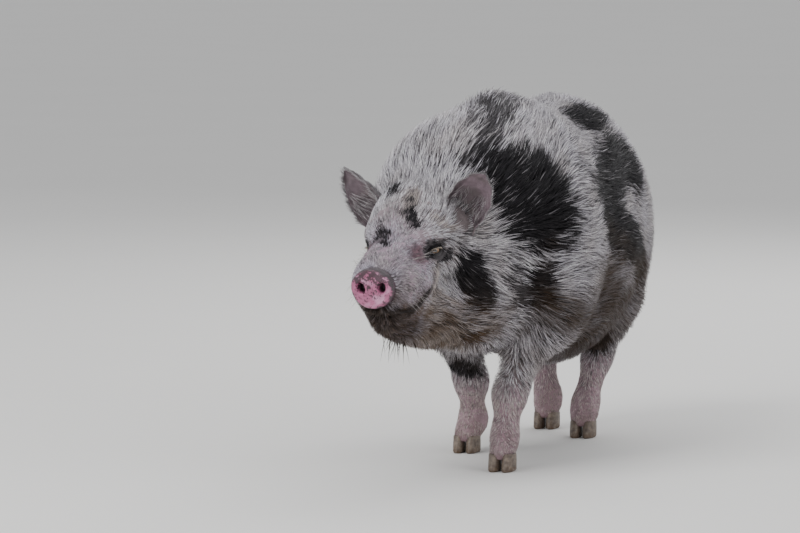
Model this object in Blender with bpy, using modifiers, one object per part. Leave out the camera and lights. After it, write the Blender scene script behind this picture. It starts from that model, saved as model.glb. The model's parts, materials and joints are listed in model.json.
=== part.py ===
"""A kunekune pig in mid-stride, its head low and turned a little to its right, as a still, life-size model.

The flesh is a set of rounded masses, blended where they meet and parted with thin cuts into head, neck,
torso and legs. Flat, tapered locks of bristle lie over it from the forehead to the rump, and a mane stands
on the crest. Metres, +Z up. The snout points to -Y and the pig's left side is +X. The hooves stand on z = 0.
"""
import math
import random

import bmesh
import bpy
import numpy as np
from mathutils import Euler, Matrix, Vector

# The gap that touching pieces keep, and the steps of the flesh mesh.
GAP = 0.0003
SKIN_STEP = 0.011
SKIN_TRIANGLES = 4300
HEAD_COARSENESS = 0.5
HEAD_CARE = 0.00011
CORONET = 0.030

# The body stands with its box centred on the origin: the masses below are placed from the shoulder.
ORIGIN_SHIFT = Vector((0.0102, -0.1377, 0.0))

# The head's own frame sits in the middle of the skull.
HEAD_CENTRE = (-0.056, -0.215, 0.378)
HEAD_TURN = -11
HEAD_LEAN = -2

# The snout disc, the eyes and the ears, in the head's frame.
SNOUT_WIDTH = 0.075
SNOUT_HEIGHT = 0.066
SNOUT_DEPTH = 0.020
SNOUT_DROP = -0.050
SNOUT_TILT = 6
SNOUT_PROFILE = ((GAP, 0.93), (0.006, 1.0), (0.014, 0.99), (0.019, 0.91), (0.020, 0.82), (0.0185, 0.66))
NOSTRIL_APART = 0.031
NOSTRIL_RADII = (0.0058, 0.011, 0.0085)
EYE_RADIUS = 0.0115
EYE_PLACE = (0.0515, -0.0845, 0.001)
LID_THICKNESS = 0.0026
EYE_SLIT_WIDTH = 0.022
EYE_SLIT_HEIGHT = 0.0085
EYE_TURN = 46
EYE_SLANT = 14
EAR_ROOT = (0.076, -0.036, 0.046)
EAR_AIM = (0.55, -0.08, 0.83)
EAR_FACE = (0.45, -0.89, 0.10)
EAR_LENGTH = 0.098
EAR_WIDTH = 0.066
EAR_THICKNESS = 0.006
EAR_BURIED = -0.22
EAR_CURL_ROOT = 88
EAR_CURL_TIP = 40
EAR_STEPS = 8
EAR_COLUMNS = 6
# The left ear (1) is broad and its tip folds forwards. The right one (-1) is straight and more pointed.
EAR_FULLNESS = {1: 3.0, -1: 2.2}
EAR_BEND = {1: -0.018, -1: 0.006}

# The feet. Each stands on two claws and has two dewclaws behind its pastern.
CLAW_APART = 0.0242
CLAW_TURN = -3
# The rings of a claw: height, half width, reach forwards and reach back.
CLAW_RINGS = (
    (0.0, 0.0092, 0.0280, 0.0180),
    (0.003, 0.0103, 0.0290, 0.0195),
    (0.018, 0.0105, 0.0232, 0.0200),
    (CORONET - GAP, 0.0098, 0.0175, 0.0195),
)
DEWCLAW_APART = 0.025
DEWCLAW_RADIUS = 0.0075
HEEL_BACK = 0.020
# A dewclaw's path down from the heel, with the share of its radius at each place.
DEWCLAW_HANG = (
    ((0, -0.012, 0.010), 0.9),
    ((0, 0, 0.004), 1.0),
    ((0, 0.008, -0.008), 0.8),
    ((0, 0.010, -0.018), 0.35),
)

# The tail hangs from the top of the rump.
TAIL_PATH = (
    (-0.014, 0.585, 0.492),
    (-0.014, 0.640, 0.486),
    (-0.013, 0.672, 0.455),
    (-0.010, 0.682, 0.405),
    (-0.004, 0.680, 0.345),
    (0.004, 0.688, 0.290),
    (0.008, 0.696, 0.262),
)
TAIL_RADII = (0.018, 0.0165, 0.0145, 0.0120, 0.0105, 0.0125, 0.004)

# The coat.
COAT_DEPTH = 0.016
CREST_DEPTH = 0.014
CORE_INSET = 0.55
LOCK_SPACING = 0.080
HEAD_LOCK_SPACING = 0.050
LOCK_LENGTH = 0.132
LOCK_WIDTH = 0.082
LOCK_THICKNESS = 0.007
LOCK_DRIFT = 0.16
# Along a lock: its height over the core as a share of its rise, and the share of its width.
LOCK_HEIGHTS = (0.15, 0.65, 1.0)
LOCK_WIDTHS = (0.70, 1.0, 0.66, 0)
LOCK_ROOT_SINK = 1.1
LEAST_RISE = 0.006
LOCK_REGION = ((-0.22, 0.22), (-0.45, 0.56), (0.14, 0.66))
LOCK_FLOOR = 0.172
LEAST_STRAIGHTNESS = 0.80
LEAST_FLATNESS = 0.15
EAR_REACH = 0.012
TAIL_REACH = 0.024
EYE_CLEAR = 0.034
CREST_HALF_WIDTH = 0.030
MANE_LINE = -0.014
MANE_ROWS = (-1, 0, 1)
MANE_APART = 0.022
MANE_START = -0.330
MANE_END = 0.28
MANE_DROP = 0.55
MANE_LENGTH = 0.058
MANE_WIDTH = 0.036
MANE_LEAN = 50
MANE_SETTLE = 10
MANE_SPACING = 0.044
# Along a bristle lock of the mane: how far up it, its share of the width, and its thickness.
MANE_PROFILE = ((-0.2, 0.9, 0.009), (0.25, 1.0, 0.008), (0.65, 0.62, 0.006), (1.0, 0, 0))
SEED = 21

# Colour, roughness and metallic value of each finish.
FINISHES = {
    "coat": ((0.42, 0.40, 0.38), 0.70, 0.0),
    "ear_skin": ((0.38, 0.24, 0.25), 0.55, 0.0),
    "snout_skin": ((0.62, 0.30, 0.32), 0.40, 0.0),
    "hoof_horn": ((0.11, 0.08, 0.065), 0.50, 0.0),
    "eye": ((0.045, 0.022, 0.012), 0.08, 0.0),
}


def clear_scene():
    for old in list(bpy.data.objects):
        bpy.data.objects.remove(old)
    for old in list(bpy.data.collections):
        bpy.data.collections.remove(old)


def new_collection(name, hidden=False):
    collection = bpy.data.collections.new(name)
    bpy.context.scene.collection.children.link(collection)
    collection.hide_render = hidden
    return collection


def place(centre, pitch=0.0, roll=0.0, yaw=0.0):
    turn = Euler([math.radians(angle) for angle in (pitch, roll, yaw)], "XYZ")
    return Matrix.Translation(centre) @ turn.to_matrix().to_4x4()


WORLD = Matrix.Translation(ORIGIN_SHIFT)
HEAD = WORLD @ place(HEAD_CENTRE, 0, HEAD_LEAN, HEAD_TURN)


def ramp(values, low, high):
    """0 up to the low value, 1 from the high one, and smooth between."""
    share = np.clip((values - low) / (high - low), 0, 1)
    return share * share * (3 - 2 * share)


def coat_depth(points):
    """The coat's depth at each point: none on the muzzle and the lower legs, and most along the crest."""
    back = np.array(HEAD.inverted())
    head_y = points @ back[1, :3] + back[1, 3]
    depth = COAT_DEPTH * ramp(head_y, -0.10, 0.03) * ramp(points[:, 2], 0.10, 0.20)
    crest = ramp(points[:, 2], 0.46, 0.54) * ramp(-points[:, 1], -0.35, -0.10) * ramp(head_y, -0.02, 0.05)
    return depth + CREST_DEPTH * crest * (1 - ramp(np.abs(points[:, 0] + 0.012), 0.02, 0.09))


# The flesh: ellipsoids and tapered limbs, each blended into those before it over its own width.
class Flesh:
    def __init__(self):
        self.masses = []

    def blob(self, frame, centre, radii, tilt=(0, 0, 0), blend=0.05):
        at = frame @ place(centre, *tilt)
        self.masses.append(("blob", np.array(at), np.array(at.inverted()), np.array(radii), blend))

    def pair(self, frame, centre, radii, tilt=(0, 0, 0), blend=0.05):
        for side in (1, -1):
            self.blob(
                frame,
                (side * centre[0], centre[1], centre[2]),
                radii,
                (tilt[0], side * tilt[1], side * tilt[2]),
                blend,
            )

    def limb(self, frame, start, end, start_radius, end_radius, blend=0.03):
        ends = [np.array(frame @ Vector(point)) for point in (start, end)]
        self.masses.append(("limb", *ends, (start_radius, end_radius), blend))

    def distance(self, points):
        """How far each point is from the blended surface, negative inside."""
        near = np.full(len(points), 10.0)
        for kind, first, second, radii, blend in self.masses:
            if kind == "blob":
                local = points @ second[:3, :3].T + second[:3, 3]
                scaled = np.linalg.norm(local / radii, axis=1)
                steep = np.linalg.norm(local / radii**2, axis=1)
                one = scaled * (scaled - 1) / np.maximum(steep, 1e-9)
            else:
                along = second - first
                share = np.clip((points - first) @ along / (along @ along), 0, 1)
                axis_point = first + share[:, None] * along
                radius = radii[0] + (radii[1] - radii[0]) * share
                one = np.linalg.norm(points - axis_point, axis=1) - radius
            overlap = np.maximum(blend - np.abs(near - one), 0) / blend
            near = np.minimum(near, one) - overlap**2 * blend / 4
        return near

    def normals(self, points, step=0.001):
        slopes = np.empty_like(points)
        for axis in range(3):
            shift = np.zeros(3)
            shift[axis] = step
            slopes[:, axis] = self.distance(points + shift) - self.distance(points - shift)
        return slopes / np.maximum(np.linalg.norm(slopes, axis=1), 1e-12)[:, None]

    def settle(self, points, inset=0.0, steps=3):
        """The points moved onto the surface, or inside it by a share of the coat's depth."""
        for _ in range(steps):
            off = self.distance(points) + inset * coat_depth(points)
            points = points - off[:, None] * self.normals(points)
        return points

    def shell(self, step, inset=0.0):
        """A closed mesh of the surface with edges about one step long."""
        mesh = bmesh.new()
        for kind, first, second, radii, _ in self.masses:
            if kind == "blob":
                size = Matrix(first) @ Matrix.Diagonal((*radii, 1))
                bmesh.ops.create_icosphere(mesh, subdivisions=3, radius=1.0, matrix=size)
                continue
            count = 2 + int(np.linalg.norm(second - first) / (0.3 * min(radii)))
            for share in np.linspace(0, 1, count):
                bmesh.ops.create_icosphere(
                    mesh,
                    subdivisions=2,
                    radius=radii[0] + (radii[1] - radii[0]) * share,
                    matrix=Matrix.Translation(first + (second - first) * share),
                )
        lumps = object_of("lumps", mesh)
        remesh = lumps.modifiers.new("one_surface", "REMESH")
        remesh.mode = "VOXEL"
        remesh.voxel_size = step
        bake(lumps)
        count = len(lumps.data.vertices)
        points = np.empty(count * 3, np.float32)
        lumps.data.vertices.foreach_get("co", points)
        points = self.settle(points.reshape(-1, 3).astype(float), inset, 2)
        edges = np.empty(len(lumps.data.edges) * 2, np.int32)
        lumps.data.edges.foreach_get("vertices", edges)
        one, other = edges.reshape(-1, 2).T
        degree = np.bincount(edges, minlength=count)[:, None]
        for _ in range(2):
            sums = [
                np.bincount(one, points[other, axis], count)
                + np.bincount(other, points[one, axis], count)
                for axis in range(3)
            ]
            points = 0.5 * points + 0.5 * np.stack(sums, 1) / degree
            points = self.settle(points, inset, 2)
        lumps.data.vertices.foreach_set("co", points.astype(np.float32).ravel())
        lumps.data.update()
        return lumps


def object_of(name, mesh, collection=None):
    """A new object that holds a bmesh, which is freed."""
    data = bpy.data.meshes.new(name)
    mesh.to_mesh(data)
    mesh.free()
    made = bpy.data.objects.new(name, data)
    (collection or bpy.context.scene.collection).objects.link(made)
    return made


def bake(piece):
    """The piece's modifiers become its mesh."""
    graph = bpy.context.evaluated_depsgraph_get()
    data = bpy.data.meshes.new_from_object(piece.evaluated_get(graph))
    piece.modifiers.clear()
    piece.data = data


def combine(piece, operation, others, solver="MANIFOLD"):
    """Joins or cuts the piece with every object of a collection, and removes them."""
    boolean = piece.modifiers.new("join", "BOOLEAN")
    boolean.operation = operation
    boolean.operand_type = "COLLECTION"
    boolean.collection = others
    boolean.solver = solver
    bake(piece)
    for used in list(others.objects):
        bpy.data.objects.remove(used)
    bpy.data.collections.remove(others)


def loose_parts(piece):
    """The closed surfaces of a mesh as lists of face indices, largest first. Edges tie faces together."""
    parent = list(range(len(piece.data.polygons)))

    def root(index):
        while parent[index] != index:
            parent[index] = parent[parent[index]]
            index = parent[index]
        return index

    first_face = {}
    for face in piece.data.polygons:
        for edge in face.edge_keys:
            if edge in first_face:
                parent[root(face.index)] = root(first_face[edge])
            else:
                first_face[edge] = face.index
    groups = {}
    for face in piece.data.polygons:
        groups.setdefault(root(face.index), []).append(face.index)
    return sorted(groups.values(), key=len, reverse=True)


def keep_faces(piece, faces, name, collection):
    """A new object with only these faces of the piece."""
    mesh = bmesh.new()
    mesh.from_mesh(piece.data)
    mesh.faces.ensure_lookup_table()
    wanted = set(faces)
    spare = [face for face in mesh.faces if face.index not in wanted]
    bmesh.ops.delete(mesh, geom=spare, context="FACES")
    return object_of(name, mesh, collection)


def keep_largest(piece):
    parts = loose_parts(piece)
    if len(parts) == 1:
        return
    mesh = bmesh.new()
    mesh.from_mesh(piece.data)
    mesh.faces.ensure_lookup_table()
    wanted = set(parts[0])
    bmesh.ops.delete(mesh, geom=[f for f in mesh.faces if f.index not in wanted], context="FACES")
    mesh.to_mesh(piece.data)
    mesh.free()


def box(name, frame, centre, size, collection, pitch=0.0, roll=0.0, yaw=0.0):
    mesh = bmesh.new()
    at = frame @ place(centre, pitch, roll, yaw) @ Matrix.Diagonal((*size, 1))
    bmesh.ops.create_cube(mesh, size=1.0, matrix=at)
    return object_of(name, mesh, collection)


def ball(name, frame, centre, radii, collection, segments=16, rings=10, tilt=(0, 0, 0)):
    mesh = bmesh.new()
    at = frame @ place(centre, *tilt) @ Matrix.Diagonal((*radii, 1))
    bmesh.ops.create_uvsphere(mesh, u_segments=segments, v_segments=rings, radius=1.0, matrix=at)
    return object_of(name, mesh, collection)


def puffed_copy(piece, by, collection):
    """A copy of a piece whose surface stands out by a small distance, to cut a neighbour clear of it."""
    copy = bpy.data.objects.new(piece.name + "_puffed", piece.data.copy())
    collection.objects.link(copy)
    for vertex, normal in zip(copy.data.vertices, [v.normal.copy() for v in piece.data.vertices]):
        vertex.co += normal * by
    return copy


def trunk(flesh):
    flesh.blob(WORLD, (-0.006, 0.28, 0.388), (0.166, 0.33, 0.200))
    flesh.blob(WORLD, (0.006, 0.29, 0.318), (0.156, 0.24, 0.180), blend=0.06)
    flesh.blob(WORLD, (-0.004, 0.06, 0.385), (0.160, 0.20, 0.204), blend=0.06)
    flesh.blob(WORLD, (-0.018, 0.47, 0.412), (0.138, 0.172, 0.180), blend=0.10)
    flesh.pair(WORLD, (0.070, 0.50, 0.32), (0.068, 0.125, 0.16), blend=0.06)
    flesh.blob(WORLD, (0.094, 0.02, 0.335), (0.070, 0.115, 0.15), blend=0.06)
    flesh.blob(WORLD, (-0.098, 0.06, 0.340), (0.068, 0.115, 0.15), blend=0.06)
    flesh.blob(WORLD, (-0.014, 0.04, 0.466), (0.112, 0.21, 0.137), blend=0.10)


def neck(flesh):
    flesh.blob(WORLD, (-0.042, -0.09, 0.430), (0.142, 0.160, 0.156), (20, 0, 0), blend=0.06)
    flesh.blob(WORLD, (-0.022, -0.08, 0.29), (0.106, 0.112, 0.102), blend=0.06)


def head(flesh):
    flesh.blob(HEAD, (0, 0.0, 0.042), (0.080, 0.105, 0.076))
    flesh.blob(HEAD, (0, -0.05, 0.030), (0.060, 0.060, 0.056), blend=0.04)
    flesh.limb(HEAD, (0, -0.05, -0.012), (0, -0.166, -0.052), 0.064, 0.0425, blend=0.05)
    flesh.pair(HEAD, (0.026, -0.135, -0.045), (0.031, 0.045, 0.036), blend=0.03)
    flesh.pair(HEAD, (0.060, 0.045, -0.01), (0.050, 0.085, 0.082), blend=0.04)
    flesh.pair(HEAD, (0.056, 0.045, -0.096), (0.054, 0.085, 0.064))
    flesh.limb(HEAD, (0, 0.0, -0.106), (0, -0.142, -0.101), 0.062, 0.030, blend=0.04)
    flesh.pair(HEAD, (0.046, -0.080, 0.027), (0.022, 0.018, 0.011), (0, 0, 20), blend=0.02)
    for side in (1, -1):
        lip_ends = ((side * 0.020, -0.182, -0.076), (side * 0.040, -0.115, -0.066))
        flesh.limb(HEAD, *lip_ends, 0.008, 0.010, blend=0.008)


# Each leg by its joints, from the elbow or stifle down to the foot, with the radius at each.
LEGS = {
    "foreleg_left": (
        1,
        ((0.066, -0.020, 0.230), (0.040, -0.058, 0.130), (0.035, -0.075, 0.055), (0.035, -0.088, 0.030)),
    ),
    "foreleg_right": (
        -1,
        ((0.086, 0.060, 0.230), (0.074, 0.115, 0.130), (0.082, 0.158, 0.055), (0.089, 0.142, 0.030)),
    ),
    "hindleg_left": (
        1,
        ((0.080, 0.460, 0.240), (0.058, 0.475, 0.140), (0.048, 0.425, 0.055), (0.049, 0.408, 0.030)),
    ),
    "hindleg_right": (
        -1,
        ((0.088, 0.500, 0.240), (0.066, 0.555, 0.140), (0.048, 0.540, 0.055), (0.046, 0.522, 0.030)),
    ),
}
FORE_RADII = (0.056, 0.0245, 0.0175, 0.0205)
HIND_RADII = (0.064, 0.0240, 0.0180, 0.0205)


def leg_points(name):
    side, joints = LEGS[name]
    return [(side * x, y, z) for x, y, z in joints]


def legs(flesh):
    for name in LEGS:
        points = leg_points(name)
        radii = FORE_RADII if name.startswith("fore") else HIND_RADII
        for start, end, start_radius, end_radius in zip(points, points[1:], radii, radii[1:]):
            flesh.limb(WORLD, start, end, start_radius, end_radius)


def whole_flesh():
    flesh = Flesh()
    trunk(flesh)
    neck(flesh)
    head(flesh)
    legs(flesh)
    return flesh


# Thin cuts that part the whole animal: centre, size and pitch of each slab, in the frame it is set in.
NECK_CUT = ((0, -0.045, 0.42), (0.6, GAP, 0.52), -17)
HEAD_CUT = ((0, 0.066, -0.02), (0.5, GAP, 0.50), 0)
FORE_CUT_HEIGHT = 0.130
HIND_CUT_HEIGHT = 0.130
MOUTH_FRONT = (-0.215, -0.081)
MOUTH_CORNER = (-0.098, -0.064)
JAW_HEEL = (-0.055, -0.190)
MUZZLE_FRONT = -0.186


def slab_between(name, start, end, width, collection):
    """A thin slab across the head that holds the line between two (y, z) points of its frame."""
    run, rise = end[0] - start[0], end[1] - start[1]
    middle = (0, (start[0] + end[0]) / 2, (start[1] + end[1]) / 2)
    pitch = math.degrees(math.atan2(rise, run))
    return box(name, HEAD, middle, (width, math.hypot(run, rise) + GAP, GAP), collection, pitch=pitch)


def cuts():
    slabs = new_collection("slabs", hidden=True)
    for name, frame, (centre, size, pitch) in (("neck_cut", WORLD, NECK_CUT), ("head_cut", HEAD, HEAD_CUT)):
        box(name, frame, centre, size, slabs, pitch=pitch)
    for name in LEGS:
        points = leg_points(name)
        height = FORE_CUT_HEIGHT if name.startswith("fore") else HIND_CUT_HEIGHT
        share = (points[0][2] - height) / (points[0][2] - points[1][2])
        middle = [points[0][axis] + share * (points[1][axis] - points[0][axis]) for axis in range(3)]
        box(name + "_cut", WORLD, middle, (0.125, 0.17, GAP), slabs)
    slab_between("mouth_cut", MOUTH_FRONT, MOUTH_CORNER, 0.3, slabs)
    slab_between("jaw_cut", MOUTH_CORNER, JAW_HEEL, 0.3, slabs)
    box("below_coronets", WORLD, (0, 0.25, CORONET / 2 - 0.05), (1, 2, CORONET + 0.1), slabs)
    box("before_muzzle", HEAD, (0, MUZZLE_FRONT - 0.05, 0), (0.3, 0.1, 0.4), slabs, pitch=SNOUT_TILT)
    for _, frame in eye_frames():
        ball("socket", frame, (0, 0, 0), [EYE_RADIUS + 3 * GAP] * 3, slabs, 14, 8)
        slit = (EYE_SLIT_WIDTH / 2, EYE_RADIUS, EYE_SLIT_HEIGHT / 2)
        ball("slit", frame, (0, -EYE_RADIUS, -0.001), slit, slabs, 12, 6)
    return slabs


def eye_frames():
    """For each side, a frame at the eye's centre that looks out along -Y."""
    for side in (1, -1):
        at = (side * EYE_PLACE[0], *EYE_PLACE[1:])
        yield side, HEAD @ place(at, 0, -side * EYE_SLANT, side * EYE_TURN)


def rings(name, loops, collection):
    """A closed tube through loops of points, each with the same count, with flat ends."""
    mesh = bmesh.new()
    rows = [[mesh.verts.new(point) for point in loop] for loop in loops]
    count = len(rows[0])
    for lower, upper in zip(rows, rows[1:]):
        for index in range(count):
            after = (index + 1) % count
            mesh.faces.new((lower[index], lower[after], upper[after], upper[index]))
    mesh.faces.new(rows[0][::-1])
    mesh.faces.new(rows[-1])
    bmesh.ops.recalc_face_normals(mesh, faces=mesh.faces)
    bmesh.ops.triangulate(mesh, faces=mesh.faces)
    return object_of(name, mesh, collection)


def tube(name, frame, path, radii, collection, sides=10):
    """A round tube of changing radius along a path of points."""
    path = [frame @ Vector(point) for point in path]
    loops = []
    for index, (at, radius) in enumerate(zip(path, radii)):
        along = path[min(index + 1, len(path) - 1)] - path[max(index - 1, 0)]
        side = along.cross(Vector((0, 1, 0.1))).normalized()
        up = side.cross(along).normalized()
        angles = [math.tau * step / sides for step in range(sides)]
        loops.append([at + radius * (math.cos(a) * side + math.sin(a) * up) for a in angles])
    return rings(name, loops, collection)


def snout_disc(pig):
    frame = HEAD @ place((0, MUZZLE_FRONT, SNOUT_DROP), SNOUT_TILT)
    loops = []
    for depth, share in SNOUT_PROFILE:
        loop = []
        for step in range(24):
            turn = math.tau * step / 24
            wide = SNOUT_WIDTH / 2 * (1 + 0.05 * math.sin(turn))
            across = share * wide * math.cos(turn)
            loop.append(frame @ Vector((across, -depth, share * SNOUT_HEIGHT / 2 * math.sin(turn))))
        loops.append(loop)
    disc = rings("snout_disc", loops, pig)
    pits = new_collection("nostrils", hidden=True)
    for side in (1, -1):
        at = (side * NOSTRIL_APART / 2, -SNOUT_DEPTH, 0.002)
        ball("nostril", frame, at, NOSTRIL_RADII, pits, 10, 6, tilt=(0, side * 25, side * 12))
    combine(disc, "DIFFERENCE", pits)


def ear_axes(side):
    """Along an ear, out of its opening, and across it, in the head's frame."""
    along = Vector((side * EAR_AIM[0], *EAR_AIM[1:])).normalized()
    face = Vector((side * EAR_FACE[0], *EAR_FACE[1:]))
    face = (face - face.dot(along) * along).normalized()
    return along, face, along.cross(face) * side


def ear(name, side, around, pig):
    """A leaf-shaped cup, open forwards and outwards, trimmed to the head it stands on."""
    root = Vector((side * EAR_ROOT[0], *EAR_ROOT[1:]))
    along, face, across = ear_axes(side)
    mesh = bmesh.new()
    rows = []
    for step in range(EAR_STEPS + 1):
        share = EAR_BURIED + (1 - EAR_BURIED) * step / EAR_STEPS
        up = max(share, 0)
        half = EAR_WIDTH / 2 * max(1 - up ** EAR_FULLNESS[side], 0.0) ** 0.65 * (0.84 + 0.9 * up * (1 - up))
        half = max(half, 0.0025)
        curl = math.radians(EAR_CURL_ROOT + (EAR_CURL_TIP - EAR_CURL_ROOT) * up)
        inner, outer = [], []
        for column in range(EAR_COLUMNS + 1):
            turn = curl * (2 * column / EAR_COLUMNS - 1)
            thick = EAR_THICKNESS * (1 - 0.55 * abs(turn / curl)) * (1 - 0.5 * up)
            for radius, row in ((half / math.sin(curl), inner), (half / math.sin(curl) + thick, outer)):
                sideways = across * radius * math.sin(turn)
                back = face * (radius * math.cos(turn) - half / math.tan(curl))
                bend = face * EAR_BEND[side] * up**3
                at = root + along * share * EAR_LENGTH + sideways - back - bend
                row.append(mesh.verts.new(HEAD @ at))
        rows.append(inner + outer[::-1])
    for lower, upper in zip(rows, rows[1:]):
        for index in range(len(lower)):
            after = (index + 1) % len(lower)
            mesh.faces.new((lower[index], lower[after], upper[after], upper[index]))
    mesh.faces.new(rows[0])
    mesh.faces.new(rows[-1][::-1])
    bmesh.ops.recalc_face_normals(mesh, faces=mesh.faces)
    bmesh.ops.triangulate(mesh, faces=mesh.faces)
    leaf = object_of(name, mesh, pig)
    trim(leaf, around)


def trim(piece, around):
    """Cuts a piece clear of its neighbour and keeps the part that stands outside."""
    near = new_collection("near", hidden=True)
    puffed_copy(around, GAP, near)
    combine(piece, "DIFFERENCE", near)
    keep_largest(piece)


def feet(parts, pig):
    for name in LEGS:
        foot = Vector(leg_points(name)[-1])
        pastern = Vector(leg_points(name)[-2])
        short = name.replace("leg", "")
        for side, side_name in ((1, "left"), (-1, "right")):
            at = WORLD @ place((foot.x + side * CLAW_APART / 2, foot.y, 0), yaw=side * CLAW_TURN)
            loops = []
            for height, half, front, back in CLAW_RINGS:
                loop = []
                for step in range(14):
                    turn = math.tau * step / 14
                    reach = -front if math.sin(turn) > 0 else back
                    point = (half * math.cos(turn), reach * abs(math.sin(turn)) ** 0.85, height)
                    loop.append(at @ Vector(point))
                loops.append(loop)
            rings(f"{short}_claw_{side_name}", loops, pig)
            heel = pastern + Vector((side * DEWCLAW_APART / 2, HEEL_BACK, 0))
            path = [heel + Vector(shift) for shift, _ in DEWCLAW_HANG]
            radii = [DEWCLAW_RADIUS * share for _, share in DEWCLAW_HANG]
            dew = tube(f"{short}_dewclaw_{side_name}", WORLD, path, radii, pig, sides=6)
            trim(dew, parts[name])


def tail(torso, pig):
    hang = tube("tail", WORLD, TAIL_PATH, TAIL_RADII, pig, sides=10)
    trim(hang, torso)


def lie(points):
    """The way the hair points at each place: backwards along the body, and down on the legs and the rump."""
    back = np.array(HEAD.inverted())
    head_y = points @ back[1, :3] + back[1, 3]
    way = np.zeros_like(points)
    way[:, 1] = 1.0
    way[:, 2] = -0.35 * ramp(points[:, 1], -0.25, 0.10) * ramp(-points[:, 2], -0.56, -0.42)
    limb = 1 - ramp(points[:, 2], 0.13, 0.22)
    way[:, 2] -= 3.0 * limb
    way[:, 2] -= 1.2 * ramp(points[:, 1], 0.42, 0.50) * ramp(-points[:, 2], -0.52, -0.36)
    way[:, 2] -= 0.30 * ramp(-head_y, -0.05, 0.02)
    return way


def walk(flesh, start, length, heights, drift):
    """Points along the lie from a start on the surface, each at its own height over the core."""
    path = []
    at = start.copy()
    normal = flesh.normals(at[None])[0]
    for height in heights:
        path.append((at + normal * height, normal))
        way = lie(at[None])[0]
        way -= normal * (way @ normal)
        way /= np.linalg.norm(way)
        way += drift * np.cross(normal, way)
        at = at + way * (length / (len(heights) - 1))
        normal = flesh.normals(at[None])[0]
        at = at - normal * (flesh.distance(at[None])[0] + CORE_INSET * coat_depth(at[None])[0])
    return path


def lock(name, path, widths, thicknesses, twist, collection):
    """A flat, tapered lock: three-sided rings along the path, closed by a point."""
    mesh = bmesh.new()
    rows = []
    for index, ((at, normal), width, thick) in enumerate(zip(path, widths, thicknesses)):
        ahead = path[min(index + 1, len(path) - 1)][0] - path[max(index - 1, 0)][0]
        side = np.cross(ahead, normal)
        side /= np.linalg.norm(side)
        over = np.cross(side, ahead)
        over /= np.linalg.norm(over)
        side = side * math.cos(twist) + over * math.sin(twist)
        over = np.cross(side, ahead)
        over /= np.linalg.norm(over)
        corners = (side * width / 2, over * thick, -side * width / 2)
        rows.append([mesh.verts.new(at + corner) for corner in corners])
    tip = mesh.verts.new(path[-1][0])
    for lower, upper in zip(rows, rows[1:-1]):
        for index in range(3):
            after = (index + 1) % 3
            mesh.faces.new((lower[index], lower[after], upper[after], upper[index]))
    last = rows[-2]
    for index in range(3):
        mesh.faces.new((last[index], last[(index + 1) % 3], tip))
    mesh.faces.new(rows[0][::-1])
    bmesh.ops.delete(mesh, geom=rows[-1], context="VERTS")
    bmesh.ops.recalc_face_normals(mesh, faces=mesh.faces)
    bmesh.ops.triangulate(mesh, faces=mesh.faces)
    return object_of(name, mesh, collection)


def scatter(flesh, spacing, chance):
    """Roots on the core, evenly spread: each is kept only if no earlier one is within its spacing."""
    kept = np.empty((0, 3))
    while True:
        added = 0
        tries = np.empty((600, 3))
        for index in range(600):
            tries[index] = [chance.uniform(low, high) for low, high in LOCK_REGION]
        tries = flesh.settle(tries, CORE_INSET, 4)
        sizes = spacing(tries)
        for at, size in zip(tries, sizes):
            if size <= 0:
                continue
            if len(kept) and np.min(np.linalg.norm(kept - at, axis=1)) < size:
                continue
            kept = np.vstack([kept, at])
            added += 1
        if added < 3:
            return kept


def lock_spacing(points):
    """How far apart locks stand: closer on the head, none on the muzzle, round the eyes or on the legs."""
    back = np.array(HEAD.inverted())
    local = points @ back[:3, :3].T + back[:3, 3]
    spacing = np.where(local[:, 1] < 0.07, HEAD_LOCK_SPACING, LOCK_SPACING)
    bare = local[:, 1] < -0.075
    for side in (1, -1):
        eye = np.array((side * EYE_PLACE[0], *EYE_PLACE[1:]))
        bare |= np.linalg.norm(local - eye, axis=1) < EYE_CLEAR
    bare |= points[:, 2] < LOCK_FLOOR
    crest = (points[:, 2] > 0.50) & (points[:, 1] < MANE_END)
    crest &= np.abs(points[:, 0] - MANE_LINE) < CREST_HALF_WIDTH
    return np.where(bare | crest, 0.0, spacing)


def clear_zones():
    """Segments and a reach around each that no lock may enter: the roots of the ears and of the tail."""
    for side in (1, -1):
        _, face, across = ear_axes(side)
        root = Vector((side * EAR_ROOT[0], *EAR_ROOT[1:]))
        for turn in (1, -1):
            yield HEAD @ root, HEAD @ (root + turn * across * EAR_WIDTH / 2 - 0.008 * face), EAR_REACH
    yield WORLD @ Vector(TAIL_PATH[0]), WORLD @ Vector(TAIL_PATH[2]), TAIL_REACH


def blocked(path, width):
    """Whether a lock along this path would fold up, reach down a leg or come too near an ear or the tail."""
    points = [at for at, _ in path]
    steps = [(after - at) / np.linalg.norm(after - at) for at, after in zip(points, points[1:])]
    if min(one @ other for one, other in zip(steps, steps[1:])) < LEAST_STRAIGHTNESS:
        return True
    if path[0][1] @ path[-1][1] < LEAST_FLATNESS or min(at[2] for at in points) < LOCK_FLOOR:
        return True
    points += [(one + other) / 2 for one, other in zip(points, points[1:])]
    for start, end, reach in clear_zones():
        along = np.array(end - start)
        for at in points:
            share = np.clip((at - np.array(start)) @ along / (along @ along), 0, 1)
            if np.linalg.norm(at - np.array(start) - share * along) < reach + width / 2:
                return True
    return False


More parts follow.
